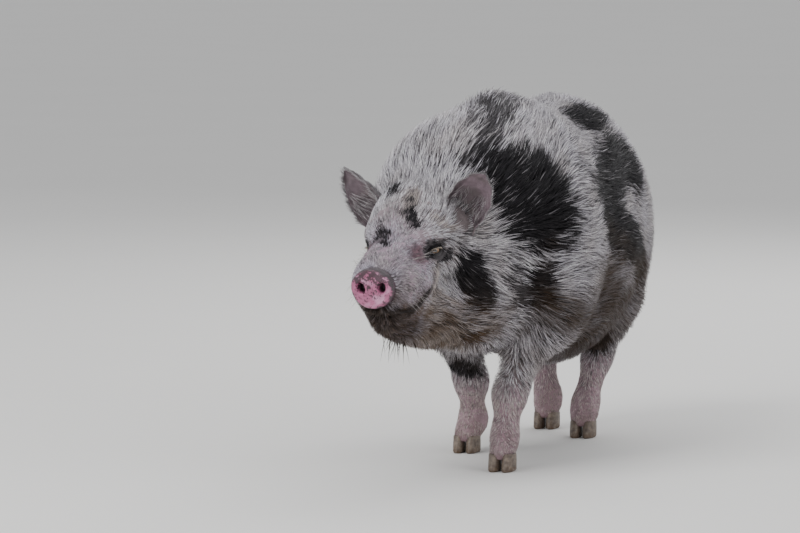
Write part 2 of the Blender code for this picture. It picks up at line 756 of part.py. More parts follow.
def body_locks(flesh, chance, locks):
    for root in scatter(flesh, lock_spacing, chance):
        depth = coat_depth(root[None])[0]
        small = lock_spacing(root[None])[0] / LOCK_SPACING
        length = LOCK_LENGTH * small * chance.uniform(0.9, 1.15)
        rise = max(CORE_INSET * depth, LEAST_RISE)
        heights = [-LOCK_ROOT_SINK * LOCK_THICKNESS] + [share * rise for share in LOCK_HEIGHTS]
        width = LOCK_WIDTH * small * chance.uniform(0.88, 1.12)
        widths = [share * width for share in LOCK_WIDTHS]
        thick = LOCK_THICKNESS * max(small, 0.7)
        path = walk(flesh, root, length, heights, chance.uniform(-LOCK_DRIFT, LOCK_DRIFT))
        if blocked(path, width):
            continue
        lock("lock", path, widths, [thick, thick, 0.7 * thick, 0], chance.uniform(-0.12, 0.12), locks)


def mane(flesh, chance, locks):
    """Rows of bristle locks stand along the crest from the poll to the middle of the back, leaning back."""
    for row in MANE_ROWS:
        at_y = MANE_START + (0.5 * MANE_SPACING if row % 2 else 0)
        while at_y < MANE_END:
            share = (at_y - MANE_START) / (MANE_END - MANE_START)
            at_y += MANE_SPACING * chance.uniform(0.9, 1.1)
            start = np.array((MANE_LINE + row * MANE_APART, at_y, MANE_DROP + 0.1 * min(1, 4 * share)))
            start = flesh.settle(start[None], CORE_INSET, 8)[0]
            normal = flesh.normals(start[None])[0]
            way = lie(start[None])[0]
            way -= normal * (way @ normal)
            way /= np.linalg.norm(way)
            swell = min(1, 0.6 + 2 * share) * (1 - 0.4 * share)
            length = MANE_LENGTH * swell * chance.uniform(0.9, 1.1)
            lean = math.radians(MANE_LEAN + MANE_SETTLE * share + chance.uniform(-4, 4))
            across = np.cross(normal, way) * chance.uniform(-0.12, 0.12)
            path = []
            for step, _, _ in MANE_PROFILE:
                angle = lean * (0.8 + 0.3 * max(step, 0))
                reach = length * step
                aim = math.sin(angle) * way + math.cos(angle) * normal + across * step
                path.append((start + reach * aim, math.sin(angle) * normal - math.cos(angle) * way))
            width = MANE_WIDTH * chance.uniform(0.9, 1.1)
            widths = [share_of_width * width for _, share_of_width, _ in MANE_PROFILE]
            thicknesses = [thick for _, _, thick in MANE_PROFILE]
            if blocked(path, width):
                continue
            lock("lock", path, widths, thicknesses, chance.uniform(-0.3, 0.3), locks)


def node_names():
    """A point well inside each piece of the flesh, by the piece's name."""
    inside = {
        "torso": WORLD @ Vector((0, 0.28, 0.38)),
        "neck": WORLD @ Vector((-0.03, -0.10, 0.42)),
        "head": HEAD @ Vector((0, 0, 0)),
        "lower_jaw": HEAD @ Vector((0, -0.13, -0.095)),
    }
    for name in LEGS:
        inside[name] = WORLD @ Vector(leg_points(name)[2])
    return inside


def part_flesh(flesh_object, pig):
    """Each closed surface that the cuts left becomes a node. Crumbs are dropped."""
    inside = node_names()
    made = {}
    for faces in loose_parts(flesh_object)[: len(inside)]:
        data = flesh_object.data
        corners = [data.vertices[corner].co for face in faces for corner in data.polygons[face].vertices]
        middle = (Vector(np.min(corners, 0)) + Vector(np.max(corners, 0))) / 2
        name = min(inside, key=lambda one: (inside[one] - middle).length)
        made[name] = keep_faces(flesh_object, faces, name, pig)
        del inside[name]
    bpy.data.objects.remove(flesh_object)
    return made


def finish_of(name):
    """The finish of a piece, by its name."""
    if name.startswith("ear_"):
        return "ear_skin"
    if name.startswith("eye_"):
        return "eye"
    if name == "snout_disc":
        return "snout_skin"
    return "hoof_horn" if "claw" in name else "coat"


def paint(pig):
    """Gives every piece a material of its own with its finish's colour."""
    for piece in pig.objects:
        colour, roughness, metallic = FINISHES[finish_of(piece.name)]
        material = bpy.data.materials.new(f"{piece.name}_{finish_of(piece.name)}")
        material.use_nodes = True
        shader = material.node_tree.nodes["Principled BSDF"]
        shader.inputs["Base Color"].default_value = (*colour, 1)
        shader.inputs["Roughness"].default_value = roughness
        shader.inputs["Metallic"].default_value = metallic
        piece.data.materials.clear()
        piece.data.materials.append(material)


def build():
    clear_scene()
    pig = new_collection("kunekune_pig")
    flesh = whole_flesh()
    skin = flesh.shell(SKIN_STEP, CORE_INSET)
    head_weight = skin.vertex_groups.new(name="coarse")
    back = HEAD.inverted()
    for vertex in skin.data.vertices:
        head_weight.add([vertex.index], 1.0 if (back @ vertex.co).y > 0.09 else HEAD_COARSENESS, "REPLACE")
    thin = skin.modifiers.new("fewer_faces", "DECIMATE")
    thin.ratio = SKIN_TRIANGLES / (2 * len(skin.data.vertices))
    thin.vertex_group = "coarse"
    thin.vertex_group_factor = HEAD_CARE
    thin.use_collapse_triangulate = True
    bake(skin)
    lids = new_collection("lids", hidden=True)
    for _, frame in eye_frames():
        ball("lid", frame, (0, 0, 0), [EYE_RADIUS + LID_THICKNESS] * 3, lids, 14, 8)
    combine(skin, "UNION", lids)
    whole = skin.copy()
    whole.data = skin.data.copy()
    chance = random.Random(SEED)
    locks = new_collection("locks", hidden=True)
    body_locks(flesh, chance, locks)
    mane(flesh, chance, locks)
    combine(skin, "UNION", locks)
    combine(skin, "DIFFERENCE", cuts())
    parts = part_flesh(skin, pig)
    for side, frame in eye_frames():
        name = "left" if side > 0 else "right"
        ball(f"eye_{name}", frame, (0, 0, 0), [EYE_RADIUS] * 3, pig, 14, 8)
        ear(f"ear_{name}", side, whole, pig)
    snout_disc(pig)
    feet(parts, pig)
    tail(parts["torso"], pig)
    bpy.data.objects.remove(whole)
    paint(pig)


build()
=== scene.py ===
"""A life-size model of a kunekune pig in mid-stride: one skin, with every tuft of its coat as solid mesh."""
import json
import math

import bmesh
import bpy
import numpy as np
from mathutils import Euler, Matrix, Vector
from mathutils.kdtree import KDTree

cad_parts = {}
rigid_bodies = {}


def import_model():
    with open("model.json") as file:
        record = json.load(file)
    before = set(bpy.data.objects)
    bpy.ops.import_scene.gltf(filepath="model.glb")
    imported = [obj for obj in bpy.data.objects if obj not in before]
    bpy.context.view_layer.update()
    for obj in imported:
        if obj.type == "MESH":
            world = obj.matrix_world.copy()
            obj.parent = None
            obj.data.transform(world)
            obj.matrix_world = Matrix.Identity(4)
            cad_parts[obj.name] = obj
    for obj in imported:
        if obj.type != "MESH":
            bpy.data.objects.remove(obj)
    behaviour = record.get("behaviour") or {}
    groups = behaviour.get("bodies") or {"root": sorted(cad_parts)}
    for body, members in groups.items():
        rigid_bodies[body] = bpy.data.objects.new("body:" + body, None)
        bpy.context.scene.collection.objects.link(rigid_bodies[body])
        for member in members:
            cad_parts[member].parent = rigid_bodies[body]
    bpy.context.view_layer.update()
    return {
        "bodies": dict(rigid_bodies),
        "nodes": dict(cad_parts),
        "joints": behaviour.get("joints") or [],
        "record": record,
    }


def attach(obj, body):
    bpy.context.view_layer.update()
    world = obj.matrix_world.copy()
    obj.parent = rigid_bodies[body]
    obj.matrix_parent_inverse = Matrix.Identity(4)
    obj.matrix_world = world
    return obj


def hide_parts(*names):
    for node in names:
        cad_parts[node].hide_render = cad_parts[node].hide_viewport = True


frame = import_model()

# The skin is one soft hide over fat, muscle and bone, from the muzzle to the rump and down to the hooves.
# Its form is a set of rounded masses blended where they meet. It lies a coat's depth under the tips of the
# hair, and folds, sockets and the mouth are pressed into it.
ORIGIN_SHIFT = Vector((0.0102, -0.1377, 0.0))
HEAD_CENTRE = (-0.056, -0.215, 0.378)
HEAD_TURN = -11
HEAD_LEAN = -2
COAT_DEPTH = 0.016
CREST_DEPTH = 0.014
SKIN_STEP = 0.0055
SKIN_LOWEST = 0.020
MUZZLE_FRONT = -0.186
SNOUT_DROP = -0.050
SNOUT_TILT = 6
SNOUT_OVERLAP = 0.010
SNOUT_SEAT = (0.0355, 0.0315)
EYE_RADIUS = 0.0115
EYE_CLEARANCE = 0.0012
EYE_PLACE = (0.0515, -0.0845, 0.001)
EYE_TURN = 46
EYE_SLANT = 14
SOCKET_REACH = (0.0195, 0.0155)
SOCKET_DEPTH = 0.0050
MOUTH_PATH = (
    (-0.215, -0.089),
    (-0.158, -0.090),
    (-0.140, -0.088),
    (-0.127, -0.078),
    (-0.115, -0.066),
    (-0.100, -0.058),
)
MOUTH_DEPTH = 0.0065
MOUTH_WIDTH = 0.0030
FINE_BESIDE_MOUTH = 0.011
FINE_ROUND_EYE = 0.026
LEGS = {
    "foreleg_left": (1, (
        (0.066, -0.02, 0.23), (0.04, -0.058, 0.13), (0.035, -0.075, 0.055), (0.035, -0.088, 0.03),
    )),
    "foreleg_right": (-1, (
        (0.086, 0.06, 0.23), (0.074, 0.115, 0.13), (0.082, 0.158, 0.055), (0.089, 0.142, 0.03),
    )),
    "hindleg_left": (1, (
        (0.08, 0.46, 0.24), (0.058, 0.475, 0.14), (0.048, 0.425, 0.055), (0.049, 0.408, 0.03),
    )),
    "hindleg_right": (-1, (
        (0.088, 0.50, 0.24), (0.066, 0.555, 0.14), (0.048, 0.54, 0.055), (0.046, 0.522, 0.03),
    )),
}
FORE_RADII = (0.056, 0.0245, 0.0175, 0.0205)
HIND_RADII = (0.064, 0.0240, 0.0180, 0.0205)


def place(centre, pitch=0.0, roll=0.0, yaw=0.0):
    """A frame at a place, turned about X, Y and Z by degrees."""
    turn = Euler([math.radians(angle) for angle in (pitch, roll, yaw)], "XYZ")
    return Matrix.Translation(centre) @ turn.to_matrix().to_4x4()


WORLD = Matrix.Translation(ORIGIN_SHIFT)
HEAD = WORLD @ place(HEAD_CENTRE, 0, HEAD_LEAN, HEAD_TURN)
SNOUT = HEAD @ place((0, MUZZLE_FRONT, SNOUT_DROP), SNOUT_TILT)
SIDES = ((1, "left"), (-1, "right"))


def ramp(values, low, high):
    """0 up to the low value, 1 from the high one, and smooth between."""
    share = np.clip((values - low) / (high - low), 0, 1)
    return share * share * (3 - 2 * share)


def out_of_frame(frame, points):
    """World places of points that are given in a frame."""
    turn = np.array(frame)
    return points @ turn[:3, :3].T + turn[:3, 3]


def in_frame(frame, points):
    """World points as seen in a frame."""
    return out_of_frame(frame.inverted(), points)


def unit(vectors):
    return vectors / np.maximum(np.linalg.norm(vectors, axis=-1, keepdims=True), 1e-9)


def hump(values, width):
    """1 where the values are 0, and fading smoothly to both sides of it."""
    return np.exp(-((values / width) ** 2))


def ripple(points, size, seed):
    """Smooth unevenness of about this size across, mostly between -1 and 1."""
    chance = np.random.default_rng(seed)
    total = np.zeros(len(points))
    for _ in range(10):
        way = chance.normal(size=3)
        way *= math.tau / size * chance.uniform(0.6, 1.7) / np.linalg.norm(way)
        total += np.sin(points @ way + chance.uniform(0, math.tau))
    return total / 3.2


def coat_depth(points):
    """The coat's depth at each point: none on the muzzle and the lower legs, and most along the crest."""
    head_y = in_frame(HEAD, points)[:, 1]
    depth = COAT_DEPTH * ramp(head_y, -0.10, 0.03) * ramp(points[:, 2], 0.10, 0.20)
    crest = ramp(points[:, 2], 0.46, 0.54) * ramp(-points[:, 1], -0.35, -0.10) * ramp(head_y, -0.02, 0.05)
    return depth + CREST_DEPTH * crest * (1 - ramp(np.abs(points[:, 0] + 0.012), 0.02, 0.09))


class Flesh:
    """Ellipsoids and tapered limbs, each blended into those before it over its own width."""

    def __init__(self):
        self.masses = []

    def blob(self, frame, centre, radii, tilt=(0, 0, 0), blend=0.05):
        at = frame @ place(centre, *tilt)
        self.masses.append(("blob", np.array(at), np.array(at.inverted()), np.array(radii), blend))

    def pair(self, frame, centre, radii, tilt=(0, 0, 0), blend=0.05):
        for side in (1, -1):
            at = (side * centre[0], centre[1], centre[2])
            self.blob(frame, at, radii, (tilt[0], side * tilt[1], side * tilt[2]), blend)

    def limb(self, frame, start, end, start_radius, end_radius, blend=0.03):
        ends = [np.array(frame @ Vector(point)) for point in (start, end)]
        self.masses.append(("limb", *ends, (start_radius, end_radius), blend))

    def distance(self, points):
        """How far each point is from the blended masses, below 0 inside them."""
        near = np.full(len(points), 10.0)
        for kind, first, second, radii, blend in self.masses:
            if kind == "blob":
                local = (points @ second[:3, :3].T + second[:3, 3]) / radii
                scaled = np.sqrt(np.einsum("ij,ij->i", local, local))
                local /= radii
                steep = np.sqrt(np.einsum("ij,ij->i", local, local))
                one = scaled * (scaled - 1) / np.maximum(steep, 1e-9)
            else:
                along = second - first
                share = np.clip((points - first) @ along / (along @ along), 0, 1)
                away = points - (first + share[:, None] * along)
                radius = radii[0] + (radii[1] - radii[0]) * share
                one = np.sqrt(np.einsum("ij,ij->i", away, away)) - radius
            overlap = np.maximum(blend - np.abs(near - one), 0) / blend
            near = np.minimum(near, one) - overlap**2 * blend / 4
        return near

    def normals(self, points, step=0.001):
        slopes = np.zeros_like(points)
        for corner in ((1, 1, 1), (1, -1, -1), (-1, 1, -1), (-1, -1, 1)):
            corner = np.array(corner, float)
            slopes += self.distance(points + corner * step)[:, None] * corner
        return unit(slopes)

    def settle(self, points, steps=1, inset=1.0):
        """The points moved onto the skin, which lies inside the masses by the coat's depth."""
        for _ in range(steps):
            off = self.distance(points) + inset * coat_depth(points)
            points = points - off[:, None] * self.normals(points)
        return points


flesh = Flesh()
flesh.blob(WORLD, (-0.006, 0.28, 0.388), (0.166, 0.33, 0.200))
flesh.blob(WORLD, (0.006, 0.29, 0.318), (0.156, 0.24, 0.180), blend=0.06)
flesh.blob(WORLD, (-0.004, 0.06, 0.385), (0.160, 0.20, 0.204), blend=0.06)
flesh.blob(WORLD, (-0.018, 0.47, 0.412), (0.138, 0.172, 0.180), blend=0.10)
flesh.pair(WORLD, (0.070, 0.50, 0.32), (0.068, 0.125, 0.16), blend=0.06)
flesh.blob(WORLD, (0.094, 0.02, 0.335), (0.070, 0.115, 0.15), blend=0.06)
flesh.blob(WORLD, (-0.098, 0.06, 0.340), (0.068, 0.115, 0.15), blend=0.06)
flesh.blob(WORLD, (-0.014, 0.04, 0.466), (0.112, 0.21, 0.137), blend=0.10)
flesh.blob(WORLD, (-0.042, -0.09, 0.430), (0.142, 0.160, 0.156), (20, 0, 0), blend=0.06)
flesh.blob(WORLD, (-0.022, -0.08, 0.29), (0.106, 0.112, 0.102), blend=0.06)
flesh.blob(HEAD, (0, 0.0, 0.042), (0.080, 0.105, 0.076))
flesh.blob(HEAD, (0, -0.05, 0.030), (0.060, 0.060, 0.056), blend=0.04)
flesh.limb(HEAD, (0, -0.05, -0.012), (0, -0.173, -0.053), 0.064, 0.0425, blend=0.05)
flesh.pair(HEAD, (0.026, -0.135, -0.045), (0.031, 0.045, 0.036), blend=0.03)
flesh.pair(HEAD, (0.060, 0.045, -0.01), (0.050, 0.085, 0.082), blend=0.04)
flesh.pair(HEAD, (0.056, 0.045, -0.096), (0.054, 0.085, 0.064))
flesh.limb(HEAD, (0, 0.0, -0.106), (0, -0.142, -0.101), 0.062, 0.030, blend=0.04)
flesh.pair(HEAD, (0.046, -0.080, 0.027), (0.022, 0.018, 0.011), (0, 0, 20), blend=0.02)
for side, _ in SIDES:
    lip_front, lip_back = (side * 0.020, -0.182, -0.076), (side * 0.040, -0.115, -0.066)
    flesh.limb(HEAD, lip_front, lip_back, 0.008, 0.010, blend=0.008)
for name, (side, joints) in LEGS.items():
    radii = FORE_RADII if name.startswith("fore") else HIND_RADII
    joints = [(side * x, y, z) for x, y, z in joints]
    for start, end, start_radius, end_radius in zip(joints, joints[1:], radii, radii[1:]):
        flesh.limb(WORLD, start, end, start_radius, end_radius)


def eye_frames():
    """For each side, a frame at the eye's centre that looks out along -Y."""
    for side, side_name in SIDES:
        at = (side * EYE_PLACE[0], *EYE_PLACE[1:])
        yield side_name, HEAD @ place(at, 0, -side * EYE_SLANT, side * EYE_TURN)


def mouth_line(local):
    """How far each point of the head is from the mouth's line, seen from the side."""
    flat = local[:, 1:]
    near = np.full(len(flat), 1.0)
    for start, end in zip(np.array(MOUTH_PATH[:-1]), np.array(MOUTH_PATH[1:])):
        along = end - start
        share = np.clip((flat - start) @ along / (along @ along), 0, 1)
        near = np.minimum(near, np.linalg.norm(flat - start - share[:, None] * along, axis=1))
    return near


def folds(points):
    """How far the skin stands out or in from its smooth form: mouth, wrinkles, furrows and unevenness."""
    local = in_frame(HEAD, points)
    low_front = ramp(-local[:, 1], 0.094, 0.108)
    depth = -MOUTH_DEPTH * hump(mouth_line(local), MOUTH_WIDTH) * low_front
    on_muzzle = ramp(-local[:, 1], 0.100, 0.125) * ramp(local[:, 2], -0.055, -0.030)
    wrinkles = np.sin(local[:, 1] * 480 + 22 * np.abs(local[:, 0]) + 1.6 * ripple(local, 0.03, 3))
    depth += 0.0005 * on_muzzle * wrinkles * ramp(ripple(local, 0.04, 4), -0.8, 0.8)
    cheek = hump(local[:, 2] + 0.030 + 0.35 * (local[:, 1] + 0.06), 0.006)
    depth -= 0.0016 * cheek * ramp(local[:, 1], -0.105, -0.080) * ramp(-local[:, 1], 0.0, 0.030)
    behind_jowl = hump(local[:, 1] - 0.055 + 0.25 * local[:, 2], 0.012)
    depth -= 0.004 * behind_jowl * ramp(-local[:, 2], 0.0, 0.05)
    depth += 0.0008 * ripple(points, 0.045, 5) + 0.0004 * ripple(points, 0.017, 6)
    knee = (1 - ramp(points[:, 2], 0.10, 0.14)) * ramp(points[:, 2], 0.030, 0.045)
    return depth + 0.0003 * knee * np.sin(points[:, 2] * 520 + 2 * ripple(points, 0.03, 7))


def vertices_of(data):
    points = np.empty(len(data.vertices) * 3, np.float32)
    data.vertices.foreach_get("co", points)
    return points.reshape(-1, 3).astype(float)


def put_vertices(data, points):
    data.vertices.foreach_set("co", points.astype(np.float32).ravel())
    data.update()


def new_piece(name, mesh, smooth=True):
    """A new object that holds a bmesh, which is freed."""
    data = bpy.data.meshes.new(name)
    mesh.to_mesh(data)
    mesh.free()
    if smooth:
        data.shade_smooth()
    made = bpy.data.objects.new(name, data)
    bpy.context.scene.collection.objects.link(made)
    return made


def split_faces(data, chosen):
    """Cuts in two every edge whose ends are both chosen, and the faces between them."""
    mesh = bmesh.new()
    mesh.from_mesh(data)
    edges = [edge for edge in mesh.edges if chosen[edge.verts[0].index] and chosen[edge.verts[1].index]]
    bmesh.ops.subdivide_edges(mesh, edges=edges, cuts=1, use_grid_fill=True)
    mesh.to_mesh(data)
    mesh.free()


def make_skin():
    mesh = bmesh.new()
    for kind, first, second, radii, _ in flesh.masses:
        if kind == "blob":
            size = Matrix(first) @ Matrix.Diagonal((*radii, 1))
            bmesh.ops.create_icosphere(mesh, subdivisions=4, radius=1.0, matrix=size)
            continue
        count = 2 + int(np.linalg.norm(second - first) / (0.3 * min(radii)))
        for share in np.linspace(0, 1, count):
            at = Matrix.Translation(first + (second - first) * share)
            radius = radii[0] + (radii[1] - radii[0]) * share
            bmesh.ops.create_icosphere(mesh, subdivisions=3, radius=radius, matrix=at)
    lumps = new_piece("skin", mesh)
    remesh = lumps.modifiers.new("one_surface", "REMESH")
    remesh.mode = "VOXEL"
    remesh.voxel_size = SKIN_STEP
    data = bpy.data.meshes.new_from_object(lumps.evaluated_get(bpy.context.evaluated_depsgraph_get()))
    lumps.modifiers.clear()
    lumps.data = data
    points = flesh.settle(vertices_of(data), 2)
    edges = np.empty(len(data.edges) * 2, np.int32)
    data.edges.foreach_get("vertices", edges)
    one, other = edges.reshape(-1, 2).T
    degree = np.bincount(edges, minlength=len(points))[:, None]
    for _ in range(3):
        sums = np.zeros_like(points)
        for axis in range(3):
            sums[:, axis] += np.bincount(one, points[other, axis], len(points))
            sums[:, axis] += np.bincount(other, points[one, axis], len(points))
        points = flesh.settle(0.5 * points + 0.5 * sums / degree)
    put_vertices(data, points)
    for level in range(2):
        local = in_frame(HEAD, vertices_of(data))
        if level == 0:
            chosen = (local[:, 1] < 0.03) & (np.abs(local[:, 0]) < 0.2) & (local[:, 2] > -0.17)
        else:
            chosen = (mouth_line(local) < FINE_BESIDE_MOUTH) & (local[:, 1] < -0.09)
            for _, frame in eye_frames():
                near = in_frame(frame, vertices_of(data))
                chosen |= (np.hypot(near[:, 0], near[:, 2]) < FINE_ROUND_EYE) & (near[:, 1] < 0.01)
        split_faces(data, chosen)
    points = flesh.settle(vertices_of(data))
    normals = flesh.normals(points)
    points += normals * folds(points)[:, None]
    for _, frame in eye_frames():
        near = in_frame(frame, points)
        across = np.hypot(near[:, 0] / SOCKET_REACH[0], near[:, 2] / SOCKET_REACH[1])
        push = SOCKET_DEPTH * (1 - ramp(across, 0.86, 1.0)) * (near[:, 1] < 0.012)
        points += push[:, None] * np.array(frame)[:3, 1]
        near = in_frame(frame, points)
        reach = (EYE_RADIUS + EYE_CLEARANCE) ** 2 - near[:, 0] ** 2 - near[:, 2] ** 2
        deep = np.where((reach > 0) & (near[:, 1] < 0.02), np.sqrt(np.maximum(reach, 0)), near[:, 1])
        points += np.maximum(deep - near[:, 1], 0)[:, None] * np.array(frame)[:3, 1]
    near = in_frame(SNOUT, points)
    reach = np.hypot(near[:, 0] / SNOUT_SEAT[0], near[:, 2] / SNOUT_SEAT[1])
    overlap = SNOUT_OVERLAP * ramp(reach, 0.76, 0.90)
    points -= np.minimum(near[:, 1] + overlap, 0)[:, None] * np.array(SNOUT)[:3, 1]
    drawn_in = np.maximum(1 - 1 / np.maximum(reach, 1e-6), 0) * (1 - ramp(near[:, 1], -0.006, 0.020))
    points -= (near[:, [0, 2]] * drawn_in[:, None]) @ np.array(SNOUT)[:3, [0, 2]].T
    points[:, 2] = np.maximum(points[:, 2], SKIN_LOWEST)
    put_vertices(data, points)
    data.shade_smooth()
    return lumps


skin = make_skin()

# The pig's colours are in its skin and its hair alike: black and smoky patches on grey-white, tan on the
# muzzle and under the eye, mauve at the eye's inner corner, and mud on the jaw, the legs and the belly. On
# the jaw and the belly the mud is partly painted shade, and painted shade also darkens the mouth's corner and
# line, the lips, the upper lids and one patch on the upper far foreleg. Each patch is an oval given by its
# middle and the ends of its two half axes, with an uneven border.
BLACK_PATCHES_AND_LEG_SHADOW = (
    ((0.096, -0.277, 0.489), (0.145, -0.184, 0.454), (0.076, -0.258, 0.550)),
    ((0.122, -0.201, 0.495), (0.152, -0.160, 0.460), (0.099, -0.202, 0.540)),
    ((0.124, -0.241, 0.426), (0.140, -0.216, 0.358), (0.163, -0.160, 0.435)),
    ((0.082, -0.307, 0.461), (0.094, -0.289, 0.383), (0.043, -0.336, 0.501)),
    ((0.047, -0.382, 0.328), (0.057, -0.358, 0.270), (0.069, -0.352, 0.336)),
    ((0.121, -0.231, 0.308), (0.119, -0.216, 0.262), (0.145, -0.214, 0.312)),
    ((0.082, 0.199, 0.568), (0.103, 0.235, 0.540), (0.066, 0.316, 0.576)),
    ((0.142, 0.232, 0.489), (0.157, 0.234, 0.425), (0.141, 0.120, 0.504)),
    ((0.146, 0.106, 0.475), (0.162, 0.054, 0.428), (0.152, -0.010, 0.489)),
    ((0.168, 0.045, 0.407), (0.168, 0.102, 0.320), (0.169, -0.062, 0.420)),
    ((0.175, 0.178, 0.341), (0.149, 0.316, 0.258), (0.167, 0.084, 0.353)),
    ((0.079, 0.295, 0.169), (0.108, 0.304, 0.176), (0.078, 0.303, 0.136)),
    ((0.022, -0.334, 0.235), (0.042, -0.324, 0.240), (0.014, -0.302, 0.220)),
    # The next patch, on the front of the upper far foreleg, is painted shadow.
    ((-0.062, -0.063, 0.148), (-0.045, -0.035, 0.142), (-0.064, -0.057, 0.130)),
    ((-0.155, -0.100, 0.410), (-0.165, -0.030, 0.385), (-0.158, -0.135, 0.350)),
    ((-0.140, -0.160, 0.480), (-0.135, -0.085, 0.500), (-0.150, -0.175, 0.435)),
    ((-0.160, 0.190, 0.480), (-0.145, 0.290, 0.445), (-0.166, 0.165, 0.425)),
    ((-0.170, 0.110, 0.385), (-0.172, 0.150, 0.360), (-0.170, 0.090, 0.355)),
    ((-0.130, 0.400, 0.440), (-0.115, 0.430, 0.490), (-0.140, 0.365, 0.405)),
    ((-0.085, 0.070, 0.585), (-0.080, 0.160, 0.575), (-0.110, 0.060, 0.560)),
    ((-0.148, -0.260, 0.300), (-0.150, -0.220, 0.300), (-0.140, -0.262, 0.255)),
    ((0.030, 0.535, 0.440), (0.070, 0.515, 0.430), (0.030, 0.530, 0.390)),
)
SMOKY_PATCHES = (
    ((0.022, -0.176, 0.591), (0.052, -0.112, 0.604), (0.042, -0.296, 0.538)),
    ((0.036, -0.299, 0.535), (0.064, -0.285, 0.538), (0.024, -0.341, 0.514)),
    ((0.092, -0.267, 0.305), (0.087, -0.272, 0.272), (0.081, -0.314, 0.313)),
    ((0.014, -0.426, 0.368), (0.020, -0.413, 0.354), (0.010, -0.429, 0.362)),
)
SMUDGES = (
    ((-0.040, -0.463, 0.442), (-0.029, -0.467, 0.416), (-0.053, -0.464, 0.439)),
    ((-0.087, -0.474, 0.403), (-0.071, -0.495, 0.386), (-0.073, -0.475, 0.414)),
    ((-0.088, -0.402, 0.474), (-0.070, -0.441, 0.464), (-0.073, -0.399, 0.477)),
)
TAN_PATCHES = (
    ((-0.067, -0.516, 0.370), (-0.046, -0.496, 0.378), (-0.055, -0.540, 0.353)),
    ((0.012, -0.430, 0.423), (0.026, -0.410, 0.407), (0.002, -0.436, 0.438)),
    ((-0.011, -0.448, 0.330), (-0.012, -0.440, 0.294), (-0.006, -0.432, 0.329)),
    ((-0.050, -0.448, 0.462), (-0.050, -0.423, 0.479), (-0.038, -0.447, 0.460)),
    ((-0.011, -0.377, 0.243), (0.027, -0.362, 0.246), (-0.044, -0.258, 0.210)),
)
PATCH_HALF_THICKNESS = 0.055
GREY_SKIN = (0.225, 0.185, 0.190)
LILAC_SKIN = (0.325, 0.252, 0.315)
PINK_SKIN = (0.46, 0.240, 0.250)
EYE_PINK = (0.165, 0.085, 0.105)
BLACK_SKIN = (0.028, 0.026, 0.029)
# Dark eye-rim skin, which also stands for painted shade on the upper lids.
EYE_RIM_AND_SHADE = (0.036, 0.030, 0.034)
MUD = (0.118, 0.072, 0.040)
# Very dark brown for wet mud and painted shade.
WET_MUD_AND_SHADE = (0.032, 0.023, 0.018)
# Near-black painted shade inside the mouth's line.
MOUTH_SHADE = (0.012, 0.009, 0.009)


def in_patches(points, patches, unevenness=0.15, edge_from=0.74, edge_to=1.18):
    """How much each point belongs to any of the patches, from 0 to 1."""
    edge = unevenness * ripple(points, 0.030, 21) + 0.12 * ripple(points, 0.010, 22)
    most = np.zeros(len(points))
    for middle, first, second in patches:
        middle = np.array(middle)
        long_axis = np.array(first) - middle
        short_axis = np.array(second) - middle
        outward = np.cross(long_axis, short_axis)
        outward *= PATCH_HALF_THICKNESS / np.linalg.norm(outward)
        local = (points - middle) @ np.linalg.inv(np.stack([long_axis, short_axis, outward], 1)).T
        reach = np.linalg.norm(local, axis=1) + edge
        most = np.maximum(most, 1 - ramp(reach, edge_from, edge_to))
    return most


def smudges(points):
    """The soft-edged dark marks of the forehead."""
    return in_patches(points, SMUDGES, 0.30, 0.40, 1.35)


def eye_marks_and_shade(points):
    """The dark rim of the eyes, which is dark skin and painted shade on the upper lids, and the bare, mauve
    skin at their inner corners.
    """
    black = np.zeros(len(points))
    pink = np.zeros(len(points))
    for side_name, frame in eye_frames():
        near = in_frame(frame, points)
        inner = -1 if side_name == "left" else 1
        front = near[:, 1] < 0.030
        uneven = 0.10 * ripple(points, 0.02, 25) + 0.07 * ripple(points, 0.006, 24)
        ring = np.hypot((near[:, 0] - inner * 0.003) / 0.0245, (near[:, 2] - 0.004) / 0.0185)
        trail = np.hypot((near[:, 0] + inner * 0.014) / 0.018, (near[:, 2] + 0.013) / 0.014)
        black = np.maximum(black, (1 - ramp(np.minimum(ring, trail) + uneven, 0.68, 1.15)) * front)
        corner = np.hypot((near[:, 0] - inner * 0.030) / 0.024, (near[:, 2] - 0.005) / 0.020)
        pink = np.maximum(pink, (1 - ramp(corner + uneven, 0.40, 1.25)) * front)
    return black, pink * (1 - black)


def belly_mud_and_shade(points):
    """How dark each point is low on the flanks, behind the forelegs and under the belly: mud and painted
    shade.
    """
    top_of_leg = 0.12 + 0.07 * (1 - ramp(points[:, 1], -0.12, -0.02))
    uneven = 0.035 * ripple(points, 0.16, 29) + 0.015 * ripple(points, 0.04, 30)
    height = ramp(points[:, 2] - top_of_leg, 0.0, 0.06) * (1 - ramp(points[:, 2] + uneven, 0.23, 0.40))
    thin = (1 - 0.55 * ramp(points[:, 1], 0.10, 0.42)) * (1 - 0.45 * ramp(-points[:, 0], 0.0, 0.12))
    return height * thin * ramp(points[:, 1], -0.27, -0.19)


def mud_and_shade_cover(points):
    """How much dried mud covers each point on the chin, lower jaw, legs and belly; on the jaw and belly
    partly painted shade.
    """
    local = in_frame(HEAD, points)
    jaw = (1 - ramp(local[:, 2] + 0.20 * local[:, 1], -0.135, -0.060)) * (local[:, 1] < 0.09)
    chin = (1 - ramp(local[:, 2], -0.094, -0.074)) * ramp(-local[:, 1], 0.095, 0.125)
    elbows = 0.35 * (1 - ramp(points[:, 2], 0.22, 0.36)) * ramp(points[:, 2], 0.12, 0.20)
    low = np.maximum(belly_mud_and_shade(points), elbows)
    feet = 0.30 * (1 - ramp(points[:, 2], 0.03, 0.09))
    cover = np.maximum.reduce([jaw, 1.4 * chin, low, feet])
    return np.clip(cover * (0.88 + 0.30 * ripple(points, 0.035, 27)), 0, 1)


